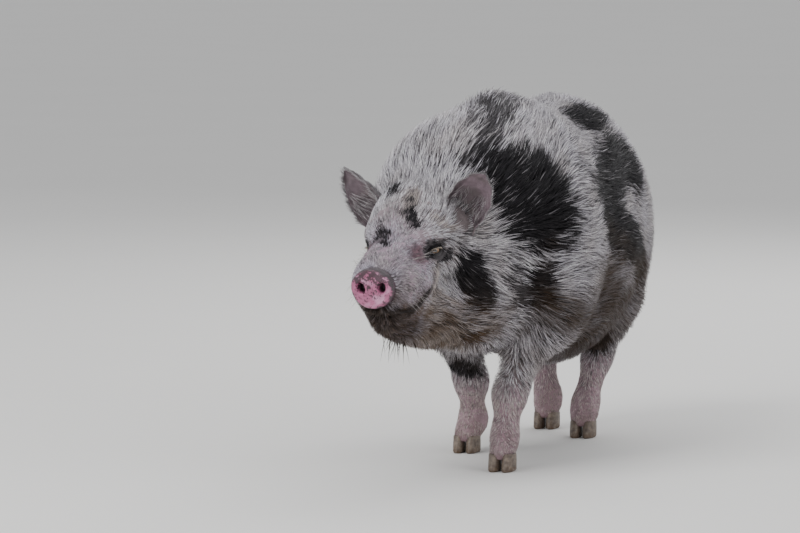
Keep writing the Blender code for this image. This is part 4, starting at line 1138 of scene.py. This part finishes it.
def hair_at(points):
    """How long and how wide the tufts are at each place, and how far apart they stand, in that order."""
    local = in_frame(HEAD, points)
    face = (1 - ramp(local[:, 1], -0.060, 0.030)) * ramp(local[:, 2], -0.16, -0.05)
    muzzle = ramp(-local[:, 1], 0.075, 0.125)
    leg = 1 - ramp(points[:, 2], 0.14, 0.25)
    foot = 1 - ramp(points[:, 2], 0.05, 0.12)
    sizes = mixed(BODY_TUFT, LEG_TUFT, leg)
    sizes = mixed(sizes, FOOT_TUFT, foot)
    sizes = mixed(sizes, FACE_TUFT, face)
    sizes = mixed(sizes, MUZZLE_TUFT, muzzle)
    sizes = mixed(sizes, BEARD_TUFT, beard(points))
    for _, frame in eye_frames():
        near = in_frame(frame, points)
        away = np.hypot(near[:, 0] / 1.25, near[:, 2]) + 10 * (near[:, 1] > 0.02)
        sizes[:, :2] *= (0.30, 0.65) + np.array((0.70, 0.35)) * ramp(away, 0.010, 0.034)[:, None]
        sizes[:, 2] *= 1 + 60 * (away < 0.0095)
    _, pink = eye_marks_and_shade(points)
    sizes[:, 0] *= 1 - 0.35 * pink
    sizes[:, 2] *= 1 + 0.3 * pink
    return sizes.T


def tangents(normals, ways, turns):
    """The ways laid flat on the skin, each turned by its own small angle."""
    flat = unit(ways - normals * np.einsum("ij,ij->i", ways, normals)[:, None])
    across = np.cross(normals, flat)
    return flat * np.cos(turns)[:, None] + across * np.sin(turns)[:, None]


def comb(roots, lengths, heights, turns, wave):
    """Paths of tufts along the lie of the coat, with the skin's normal at each step of each tuft."""
    at = flesh.settle(roots)
    offset = roots - at
    normals = flesh.normals(at)
    steps = len(heights) - 1
    path, outward = [], []
    for step, height in enumerate(heights):
        share = step / steps
        sway = wave[:, 0] * np.sin(share * 4.6 + wave[:, 1]) * share
        across = np.cross(normals, tangents(normals, lie(at), turns))
        rise = coat_depth(at) + LEAST_RISE * ramp(at[:, 2], 0.02, 0.16) + 0.0005 + BEARD_RISE * beard(at)
        rise *= height
        path.append(at + offset * (1 - share) + normals * rise[:, None] + across * sway[:, None])
        outward.append(normals)
        if step < steps:
            at = at + tangents(normals, lie(at), turns) * (lengths / steps)[:, None]
            off = flesh.distance(at) + coat_depth(at)
            normals = flesh.normals(at)
            at = at - off[:, None] * normals
    return np.stack(path, 1), np.stack(outward, 1)


def gather(path, chance, strength):
    """Draws the tufts of each small lock together towards its tip."""
    count = len(path)
    few = max(count // 11, 1)
    leaders = chance.choice(count, few, replace=False)
    tree = KDTree(few)
    for index, leader in enumerate(leaders):
        tree.insert(path[leader, 0], index)
    tree.balance()
    followed = leaders[[tree.find(at)[1] for at in path[:, 0]]]
    share = np.linspace(0, 1, path.shape[1]) ** 1.4
    pull = strength * chance.uniform(0.5, 1.0, count)
    return path + (path[followed] - path) * (pull[:, None] * share)[:, :, None]


def unwrap(points):
    """Each root's place on a flat unwrap of the skin: a rolled-out trunk, an opened head and four legs."""
    local = in_frame(HEAD, points)
    angle = np.arctan2(points[:, 0] + 0.006, points[:, 2] - 0.38) / math.tau + 0.5
    u = 0.01 + 0.60 * (points[:, 1] + 0.58) / 1.16
    v = 0.01 + 0.97 * angle
    head = local[:, 1] < 0.07
    polar = np.arccos(np.clip(-local[:, 1] / np.linalg.norm(local, axis=1), -1, 1)) / math.pi
    spin = np.arctan2(local[:, 2], local[:, 0])
    u = np.where(head, 0.815 + 0.22 * polar * np.cos(spin), u)
    v = np.where(head, 0.815 + 0.22 * polar * np.sin(spin), v)
    for index, (side, joints) in enumerate(LEGS.values()):
        away = points - np.array(WORLD @ Vector((side * joints[1][0], *joints[1][1:])))
        leg = (points[:, 2] < 0.17) & (np.abs(away[:, 0]) < 0.07) & (np.abs(away[:, 1]) < 0.09)
        round_leg = np.arctan2(away[:, 0], away[:, 1]) / math.tau + 0.5
        u = np.where(leg, 0.64 + 0.33 * points[:, 2] / 0.17, u)
        v = np.where(leg, 0.01 + 0.15 * index + 0.13 * round_leg, v)
    return np.stack([u, v], 1)


def blades(name, path, outward, widths, root_tones, tip_tones):
    """One piece of many tufts: three-sided rings along each path, closed at the root, drawn to a point."""
    count, steps = path.shape[:2]
    rings = steps - 1
    along = unit(np.gradient(path, axis=1))
    side = unit(np.cross(along, outward))
    over = np.cross(side, along)[:, :rings]
    taper = (1 - (np.arange(rings) / rings) ** 1.8)[None, :] * np.where(np.arange(rings) == 0, 0.8, 1.0)
    half = (widths[:, None] * taper / 2)[:, :, None]
    middle = path[:, :rings]
    sideways = side[:, :rings] * half
    corners = np.stack([middle - sideways, middle + over * half * 2 * BLADE_THICKNESS, middle + sideways], 2)
    places = np.concatenate([corners.reshape(count, rings * 3, 3), path[:, -1:]], 1)
    each = rings * 3 + 1
    quads = []
    for ring in range(rings - 1):
        for corner in range(3):
            after = (corner + 1) % 3
            quads.append((ring * 3 + corner, ring * 3 + after, ring * 3 + 3 + after, ring * 3 + 3 + corner))
    last = (rings - 1) * 3
    triangles = [(0, 2, 1)] + [(last + corner, last + (corner + 1) % 3, each - 1) for corner in range(3)]
    loops_of_one = np.array([index for face in quads + triangles for index in face])
    sizes = np.array([4] * len(quads) + [3] * len(triangles))
    starts_of_one = np.concatenate([[0], np.cumsum(sizes)[:-1]])
    data = bpy.data.meshes.new(name)
    data.vertices.add(count * each)
    data.vertices.foreach_set("co", places.astype(np.float32).ravel())
    data.loops.add(count * len(loops_of_one))
    vertex_indices = np.arange(count)[:, None] * each + loops_of_one
    data.loops.foreach_set("vertex_index", vertex_indices.astype(np.int32).ravel())
    data.polygons.add(count * len(sizes))
    starts = np.arange(count)[:, None] * len(loops_of_one) + starts_of_one
    data.polygons.foreach_set("loop_start", starts.astype(np.int32).ravel())
    data.update(calc_edges=True)
    data.shade_smooth()
    share = np.append(np.repeat(np.arange(rings) / rings, 3), 1.0)
    tones = root_tones[:, None, :] + (tip_tones - root_tones)[:, None, :] * share[None, :, None]
    paint(data, "tone", tones.reshape(-1, 3))
    patch = np.stack([np.append(np.tile((0.0, 0.5, 1.0), rings), 0.5), share], 1) * BAKE_PATCH
    spread = unwrap(path[:, 0])[:, None, :] + patch[loops_of_one][None]
    data.uv_layers.new(name="OFBake").data.foreach_set("uv", spread.astype(np.float32).ravel())
    made = bpy.data.objects.new(name, data)
    bpy.context.scene.collection.objects.link(made)
    data.materials.append(bristle)
    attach(made, "root")


def hair_tones(points, chance, dark_share=DARK_SHARE):
    """Each tuft's colour: black hairs in the patches, and pale, tan and some dark ones elsewhere."""
    # Dark hairs round the eyes are partly painted shade on the upper lids.
    black, pink = eye_marks_and_shade(points)
    # Black hairs in the patches; those on the upper far foreleg are painted shadow.
    black = np.maximum(in_patches(points, BLACK_PATCHES_AND_LEG_SHADOW), black)
    smudged = smudges(points)
    smoky = np.maximum(0.88 * in_patches(points, SMOKY_PATCHES, 0.30), 0.95 * smudged)
    bands = np.clip(dark_share + 0.16 * ripple(points, 0.035, 53), 0.03, 0.6) * ramp(points[:, 2], 0.04, 0.16)
    odds = np.maximum.reduce([0.96 * black, smoky, bands * (1 - black)])
    dark = chance.random(len(points)) < odds
    bright = 1 + 0.32 * ramp(-points[:, 1], 0.05, 0.25)
    tan = 0.50 * in_patches(points, TAN_PATCHES, 0.35)
    pale = mixed(np.array(HAIR_PALE) * bright[:, None], HAIR_TAN, tan)
    local = in_frame(HEAD, points)
    pale = mixed(pale, HAIR_LILAC, 0.8 * ramp(-local[:, 1], 0.08, 0.13))
    pale = mixed(pale, HAIR_MAUVE, 0.94 * pink)
    pale = mixed(pale, HAIR_LEG, 0.85 * (1 - ramp(points[:, 2], 0.08, 0.16)))
    pale = mixed(pale, HAIR_WARM, np.clip(0.12 + 0.18 * ripple(points, 0.08, 54), 0, 0.5))
    inky = np.minimum(1.4 * np.maximum(black, 0.7 * smudged), 1)
    pale = mixed(pale, HAIR_GREY, 0.85 * black)
    dark_tone = mixed(HAIR_GREY, HAIR_SMOKE, np.minimum(1.5 * smoky, 1))
    dark_tone = mixed(dark_tone, HAIR_DARK, inky)
    colour = np.where(dark[:, None], dark_tone, pale)
    colour = colour * chance.lognormal(0, 0.22, len(points))[:, None]
    # Mud on the hair, which under the jaw and low on the body is partly painted shade.
    colour = mixed(colour, MUD, 0.94 * mud_and_shade_cover(points) * chance.uniform(0.65, 1.0, len(points)))
    # Wet mud and painted shade on the hair round the mouth, under the disc, on the chin and the belly.
    return mixed(colour, WET_MUD_AND_SHADE, wet_mud_and_shade(points) * chance.uniform(0.85, 1.0, len(points)))


def scatter(data, size_of, chance):
    """Roots strewn over a mesh's triangles, as close as the tufts stand there."""
    data.calc_loop_triangles()
    corners = np.empty(len(data.loop_triangles) * 3, np.int32)
    data.loop_triangles.foreach_get("vertices", corners)
    points = vertices_of(data)[corners.reshape(-1, 3)]
    first_side, second_side = points[:, 1] - points[:, 0], points[:, 2] - points[:, 0]
    area = np.linalg.norm(np.cross(first_side, second_side), axis=1) / 2
    wanted = area / size_of(points.mean(1)) ** 2
    count = int(wanted.sum())
    picks = chance.choice(len(wanted), count, p=wanted / wanted.sum())
    first, second = chance.random(count), chance.random(count)
    over = first + second > 1
    first, second = np.where(over, 1 - first, first), np.where(over, 1 - second, second)
    return points[picks, 0] + first_side[picks] * first[:, None] + second_side[picks] * second[:, None]


def bristle_material():
    """Hair: its painted colour with fine changes along it, and hardly any shine."""
    material, tree, shader, coordinates = new_material("bristle", 0.60, Specular_IOR_Level=0.08)
    fine = stretch(tree, noise(tree, coordinates, 650.0, 2.0), 0.3, 0.7, 0.62, 1.3)
    wire(tree, shader, Base_Color=blend(tree, "MULTIPLY", 0.8, painted(tree, "tone"), fine))
    return material


def coat_spacing(points):
    """How far apart roots stand. There are none on the mouth's line, nor under the claws, disc and ears."""
    _, _, spacing = hair_at(points)
    local = in_frame(HEAD, points)
    near = in_frame(SNOUT, points)
    behind_disc = np.hypot(near[:, 0] / SNOUT_SEAT[0], near[:, 2] / SNOUT_SEAT[1]) < 0.93
    bare = (near[:, 1] < 0.001 - SNOUT_OVERLAP) | (behind_disc & (near[:, 1] < 0.004))
    bare |= points[:, 2] < 0.030
    bare |= (mouth_line(local) < 0.0030) & (local[:, 1] < -0.108)
    for side, _ in SIDES:
        ear_root = np.array((side * EAR_ROOT[0], EAR_ROOT[1] - 0.004, EAR_ROOT[2]))
        bare |= np.linalg.norm(local - ear_root, axis=1) < 0.020
    return np.where(bare, BARE, spacing)


# The coat's layers: long guard hairs, an undercoat darkened with painted shade, and short hair. Each says how
# far apart, long and wide its tufts are beside hair_at, how high they lie, how much they gather in locks and
# how light they are, where the undercoat's lower value is painted shade deep in the coat.
COAT_LAYERS = (
    dict(short=False, apart=1.05, length=1.0, width=1.0, lift=(0.60, 1.0), gather=0.32, tone=1.0),
    # The undercoat lies deeper and is painted half as light: painted shade under the guard hairs.
    dict(short=False, apart=1.60, length=0.8, width=1.8, lift=(0.30, 0.70), gather=0.30, tone=0.5),
    dict(short=True, apart=1.0, length=1.0, width=1.0, lift=(0.45, 1.0), gather=0.25, tone=1.0),
)


def make_coat():
    chance = np.random.default_rng(7)
    number = 0
    for layer in COAT_LAYERS:
        at = scatter(skin.data, lambda points: coat_spacing(points) * layer["apart"], chance)
        at = at[(hair_at(at)[0] <= SHORT_TUFT) == layer["short"]]
        at = at[np.argsort(at[:, 1])]
        length, width, _ = hair_at(at)
        length = length * layer["length"] * chance.uniform(0.75, 1.2, len(at))
        width = width * layer["width"] * chance.uniform(0.7, 1.25, len(at))
        lift = chance.uniform(*layer["lift"], len(at))
        heights = [-0.20 * np.ones(len(at)), 0.62 * lift, lift]
        wave = np.stack([0.075 * chance.uniform(0.2, 1.0, len(at)) * length, ripple(at, 0.05, 55) * 2], 1)
        path, outward = comb(at, length, heights, chance.normal(0, 0.15, len(at)), wave)
        path = gather(path, chance, layer["gather"])
        tones = hair_tones(path[:, 1:].mean(1), chance) * layer["tone"]
        for band in np.array_split(np.arange(len(at)), math.ceil(len(at) / MOST_TUFTS)):
            number += 1
            # Each tuft runs from darker at its root to lighter at its tip: painted shade deep in the coat.
            tips = np.minimum(tones[band] * 1.10, 0.9)
            blades(f"coat_{number:02d}", path[band], outward[band], width[band], tones[band] * 0.72, tips)


bristle = bristle_material()
make_coat()

# The mane is a strip of longer, stiffer bristles along the crest, from the poll to the middle of the back.
# They stand up and lean backwards, darkest over the withers.
MANE_COUNT = 5000
MANE_LINE = -0.014
MANE_SPREAD = 0.017
MANE_EDGE = 0.045
MANE_START = -0.345
MANE_END = 0.30
MANE_LENGTH = 0.068
MANE_WIDTH = 0.0019
MANE_LEAN = 44


def make_mane():
    chance = np.random.default_rng(11)
    share = chance.random(MANE_COUNT)
    across = np.clip(chance.normal(0, MANE_SPREAD, MANE_COUNT), -MANE_EDGE, MANE_EDGE)
    y = MANE_START + share * (MANE_END - MANE_START)
    above = np.stack([MANE_LINE + across, y, 0.55 + 0.1 * np.minimum(1, 4 * share)], 1)
    root = flesh.settle(above, 8)
    normals = flesh.normals(root)
    ways = tangents(normals, lie(root), chance.normal(0, 0.22, MANE_COUNT))
    swell = np.minimum(1, 0.55 + 2.2 * share) * (1 - 0.45 * share) * (1 - 0.35 * np.abs(across) / MANE_EDGE)
    length = MANE_LENGTH * swell * chance.uniform(0.7, 1.12, MANE_COUNT)
    lean = np.radians(MANE_LEAN + 14 * share + 260 * np.abs(across) + chance.normal(0, 5, MANE_COUNT))
    path = [root - 0.003 * normals]
    for step, bend in ((0.42, 0.80), (0.75, 1.0), (1.0, 1.18)):
        angle = np.minimum(lean * bend, 1.45)[:, None]
        path.append(root + (length * step)[:, None] * (np.sin(angle) * ways + np.cos(angle) * normals))
    path = gather(np.stack(path, 1), chance, 0.40)
    tones = hair_tones(root, chance, 0.30)
    widths = MANE_WIDTH * chance.uniform(0.7, 1.3, MANE_COUNT)
    # Darker roots and lighter tips: painted shade deep in the mane.
    blades("mane", path, np.repeat(normals[:, None], 4, 1), widths, tones * 0.7, tones * 1.05)


make_mane()

# Short fur lies along the backs of the ears towards their tips. A fringe of finer, longer hair stands round
# the rims, and a few long hairs cross the opening.
EAR_FUR = 2000
EAR_FRINGE = 420
EAR_INNER_HAIRS = 170


def ear_hairs(side, share, turn, depth, length, lean, chance, width, tone):
    """Paths of hairs rooted on an ear: they follow it to its tip, or lean out over its edge."""
    count = len(share)
    root = ear_places(side, share, turn, depth)
    outward = ear_places(side, share, turn, depth + 0.5) - ear_places(side, share, turn, depth - 0.5)
    outward = unit(outward * np.where(depth > 0.5, 1.0, -1.0)[:, None])
    along = unit(ear_places(side, share + 0.02, turn, depth) - root)
    edgeward = unit(ear_places(side, share, turn * 1.03, depth) - root)
    aim = unit(along * lean[0] + edgeward * lean[1] + outward * lean[2] + chance.normal(0, 0.12, (count, 3)))
    reach = aim * (length * chance.uniform(0.7, 1.2, count))[:, None]
    path = [root - outward * 0.0004, root + reach * 0.5 + outward * 0.0006, root + reach - outward * 0.0006]
    tones = np.tile(tone, (count, 1)) * chance.lognormal(0, 0.30, count)[:, None]
    return np.stack(path, 1), np.repeat(outward[:, None], 3, 1), np.full(count, width), tones


def make_ear_fur(side, side_name):
    chance = np.random.default_rng(13 + side)
    back_share = chance.uniform(0.0, 0.98, EAR_FUR)
    back_turn = chance.uniform(-0.97, 0.97, EAR_FUR)
    rim_share = chance.uniform(0.05, 0.99, EAR_FRINGE)
    rim_turn = np.where(chance.random(EAR_FRINGE) < 0.5, 0.985, -0.985)
    in_share = chance.uniform(0.0, 0.45, EAR_INNER_HAIRS)
    in_turn = chance.uniform(-0.9, 0.9, EAR_INNER_HAIRS)
    batches = []
    for share, turn, depth, length, lean, width, tone in (
        (back_share, back_turn, 1.0, 0.0095, (1, 0.1, 0.10), 0.0013, (0.25, 0.235, 0.245)),
        (rim_share, rim_turn, 0.5, 0.0130, (1, 0.8, 0.05), 0.0008, (0.42, 0.40, 0.41)),
        (in_share, in_turn, 0.0, 0.026, (1, 0.3, 0.55), 0.0006, (0.50, 0.47, 0.48)),
    ):
        depths = np.full(len(share), depth)
        batches.append(ear_hairs(side, share, turn, depths, length, lean, chance, width, tone))
    path, outward, widths, tones = (np.concatenate(parts) for parts in zip(*batches))
    # Darker roots and lighter tips: painted shade among the ear's hairs.
    blades(f"ear_fur_{side_name}", path, outward, widths, tones * 0.8, tones * 1.05)


for side, side_name in SIDES:
    make_ear_fur(side, side_name)

# Fur of the same bristle is rooted all along the tail's cord and runs down it. Towards the end it grows
# longer and forms a switch of wavy hair.
TAIL_FUR = 2000
TAIL_FUR_WIDTH = 0.0019


def make_tail_fur():
    chance = np.random.default_rng(17)
    rings = np.array([[tuple(at) for at in loop] for loop in tail_loops])
    middles = rings.mean(1)
    last = len(rings) - 1
    ring = (chance.random(TAIL_FUR) ** 0.75 * last * 0.97).astype(int)
    spot = chance.integers(0, rings.shape[1], TAIL_FUR)
    root = rings[ring, spot]
    outward = unit(root - middles[ring])
    share = ring / last
    length = (0.020 + 0.040 * ramp(share, 0.45, 0.95)) * chance.uniform(0.7, 1.15, TAIL_FUR)
    pace = np.linalg.norm(middles[1:] - middles[:-1], axis=1).mean()
    path = [root - 0.001 * outward]
    for step, lift in ((0.35, 0.0030), (0.7, 0.0045), (1.0, 0.0035)):
        reach = ring + length * step / pace
        low = np.clip(reach.astype(int), 0, last - 1)
        part = (reach - low)[:, None]
        middle = middles[low] + (middles[low + 1] - middles[low]) * part
        further = np.minimum(ring + 2, last)
        away = (rings[further, spot] - middles[further]) * (1 - 0.5 * step)
        wave = 0.0025 * np.sin(step * 5 + spot * 0.7) * ramp(share, 0.3, 0.8)
        path.append(middle + away + outward * lift + wave[:, None] * np.cross(outward, (0, 0, 1)))
    tones = hair_tones(root, chance, 0.45)
    widths = np.full(TAIL_FUR, TAIL_FUR_WIDTH)
    # Darker roots and lighter tips: painted shade deep in the tail's fur.
    blades("tail_fur", np.stack(path, 1), np.repeat(outward[:, None], 4, 1), widths, tones * 0.7, tones)


make_tail_fur()

# Whiskers: stiff dark ones hang from the muddy chin, fine pale ones stand on the lips and over the eyes, and
# lashes line the upper lids.
CHIN_WHISKERS = 34
LIP_WHISKERS = 90
LASHES = 60
CHIN_WHISKER_TONE = (0.034, 0.024, 0.018)
LIP_WHISKER_TONE = (0.45, 0.42, 0.41)
LASH_PALE = (0.62, 0.54, 0.46)
LASH_DARK = (0.10, 0.08, 0.07)


def rooted(across, along, up):
    """Places on the head, moved onto its skin."""
    places = np.stack(np.broadcast_arrays(across, along, up), 1)
    return flesh.settle(out_of_frame(HEAD, places), 6)


def bent_hairs(root, aim, droop, length):
    """Paths that leave along their aim and droop towards their tips."""
    aim = unit(aim)
    path = [root - aim * 0.002]
    for step in (0.35, 0.7, 1.0):
        path.append(root + aim * (length * step)[:, None] + np.outer(droop * length * step**2, (0, 0, -1)))
    return np.stack(path, 1)


def make_whiskers():
    chance = np.random.default_rng(19)
    across = chance.normal(0, 0.020, CHIN_WHISKERS)
    chin = rooted(across, chance.uniform(-0.150, -0.080, CHIN_WHISKERS), -0.16)
    down = flesh.normals(chin) * 0.5 + np.array((0, 0.45, -0.7)) + chance.normal(0, 0.35, (CHIN_WHISKERS, 3))
    droop = chance.uniform(0.2, 0.9, CHIN_WHISKERS)
    chin_path = bent_hairs(chin, down, droop, chance.uniform(0.012, 0.030, CHIN_WHISKERS))
    sides = np.where(chance.random(LIP_WHISKERS) < 0.5, 1.0, -1.0)
    along = chance.uniform(-0.175, -0.09, LIP_WHISKERS)
    lip = rooted(sides * 0.05, along, chance.uniform(-0.085, 0.0, LIP_WHISKERS))
    aim = flesh.normals(lip) * 0.8 + np.array((0, 0.75, -0.1)) + chance.normal(0, 0.15, (LIP_WHISKERS, 3))
    lip_path = bent_hairs(lip, aim, np.full(LIP_WHISKERS, 0.25), chance.uniform(0.012, 0.028, LIP_WHISKERS))
    lash_paths = []
    for _, frame in eye_frames():
        x = LID_HALF_WIDTH * np.linspace(-0.85, 0.85, LASHES)
        z = LID_UPPER * np.sqrt(np.maximum(1 - (x / LID_HALF_WIDTH) ** 2, 0)) + 0.0004
        y = -np.sqrt((EYE_RADIUS + LID_THICKNESS) ** 2 - x**2 - z**2)
        root = out_of_frame(frame, np.stack([x, y, z], 1))
        aim = np.stack([x * 22, np.full(LASHES, -0.75), np.full(LASHES, 0.30)], 1)
        aim = (aim + chance.normal(0, 0.14, (LASHES, 3))) @ np.array(frame)[:3, :3].T
        lash_paths.append(bent_hairs(root, aim, np.full(LASHES, 0.55), chance.uniform(0.004, 0.009, LASHES)))
    path = np.concatenate([chin_path, lip_path, *lash_paths])
    widths = np.full(len(path), 0.0006)
    widths[:CHIN_WHISKERS] = chance.uniform(0.0007, 0.0016, CHIN_WHISKERS)
    tones = np.tile(LIP_WHISKER_TONE, (len(path), 1))
    tones[:CHIN_WHISKERS] = CHIN_WHISKER_TONE
    tones[-2 * LASHES :] = np.where(chance.random((2 * LASHES, 1)) < 0.75, LASH_PALE, LASH_DARK)
    facing = np.tile((0.3, -1.0, 0.35), (len(path), 4, 1))
    blades("whiskers", path, facing, widths, tones, tones)


make_whiskers()

# A plain pale floor, a large soft light over the left shoulder of the view, a weaker one opposite and a broad
# one behind. The camera stands where the photograph's did, level with the pig and far off.
FLOOR_SIZE = 60.0
CAMERA_AT = (2.0729, -7.8357, 0.9972)
CAMERA_TURN = (85.2198, 0.0, 16.1502)
CAMERA_LENS = 216.0

mesh = bmesh.new()
bmesh.ops.create_grid(mesh, x_segments=2, y_segments=2, size=FLOOR_SIZE)
floor = new_piece("floor", mesh, smooth=False)
paper, tree, shader, coordinates = new_material("pale_floor", 0.85)
shade = stretch(tree, noise(tree, coordinates, 1.5), 0.3, 0.7, 0.985, 1.0)
wire(tree, shader, Base_Color=blend(tree, "MULTIPLY", 1.0, (0.80, 0.79, 0.77, 1), shade))
floor.data.materials.append(paper)

for name, at, aim, size, power in (
    ("main_light", (-1.6, -3.0, 3.4), (0.0, -0.1, 0.3), 2.4, 130.0),
    ("side_light", (3.6, -1.6, 2.0), (0.0, 0.0, 0.3), 3.0, 38.0),
    ("back_light", (0.4, 3.4, 3.2), (0.0, 0.0, 0.4), 3.0, 90.0),
):
    light = bpy.data.lights.new(name, "AREA")
    light.size = size
    light.energy = power
    lamp = bpy.data.objects.new(name, light)
    lamp.location = at
    lamp.rotation_euler = (Vector(aim) - Vector(at)).to_track_quat("-Z", "Y").to_euler()
    bpy.context.scene.collection.objects.link(lamp)

world = bpy.data.worlds.new("soft_room")
world.use_nodes = True
world.node_tree.nodes["Background"].inputs["Color"].default_value = (0.82, 0.83, 0.85, 1)
world.node_tree.nodes["Background"].inputs["Strength"].default_value = 0.80
bpy.context.scene.world = world

lens = bpy.data.cameras.new("camera")
lens.lens = CAMERA_LENS
camera = bpy.data.objects.new("camera", lens)
camera.location = CAMERA_AT
camera.rotation_euler = [math.radians(angle) for angle in CAMERA_TURN]
bpy.context.scene.collection.objects.link(camera)
bpy.context.scene.camera = camera
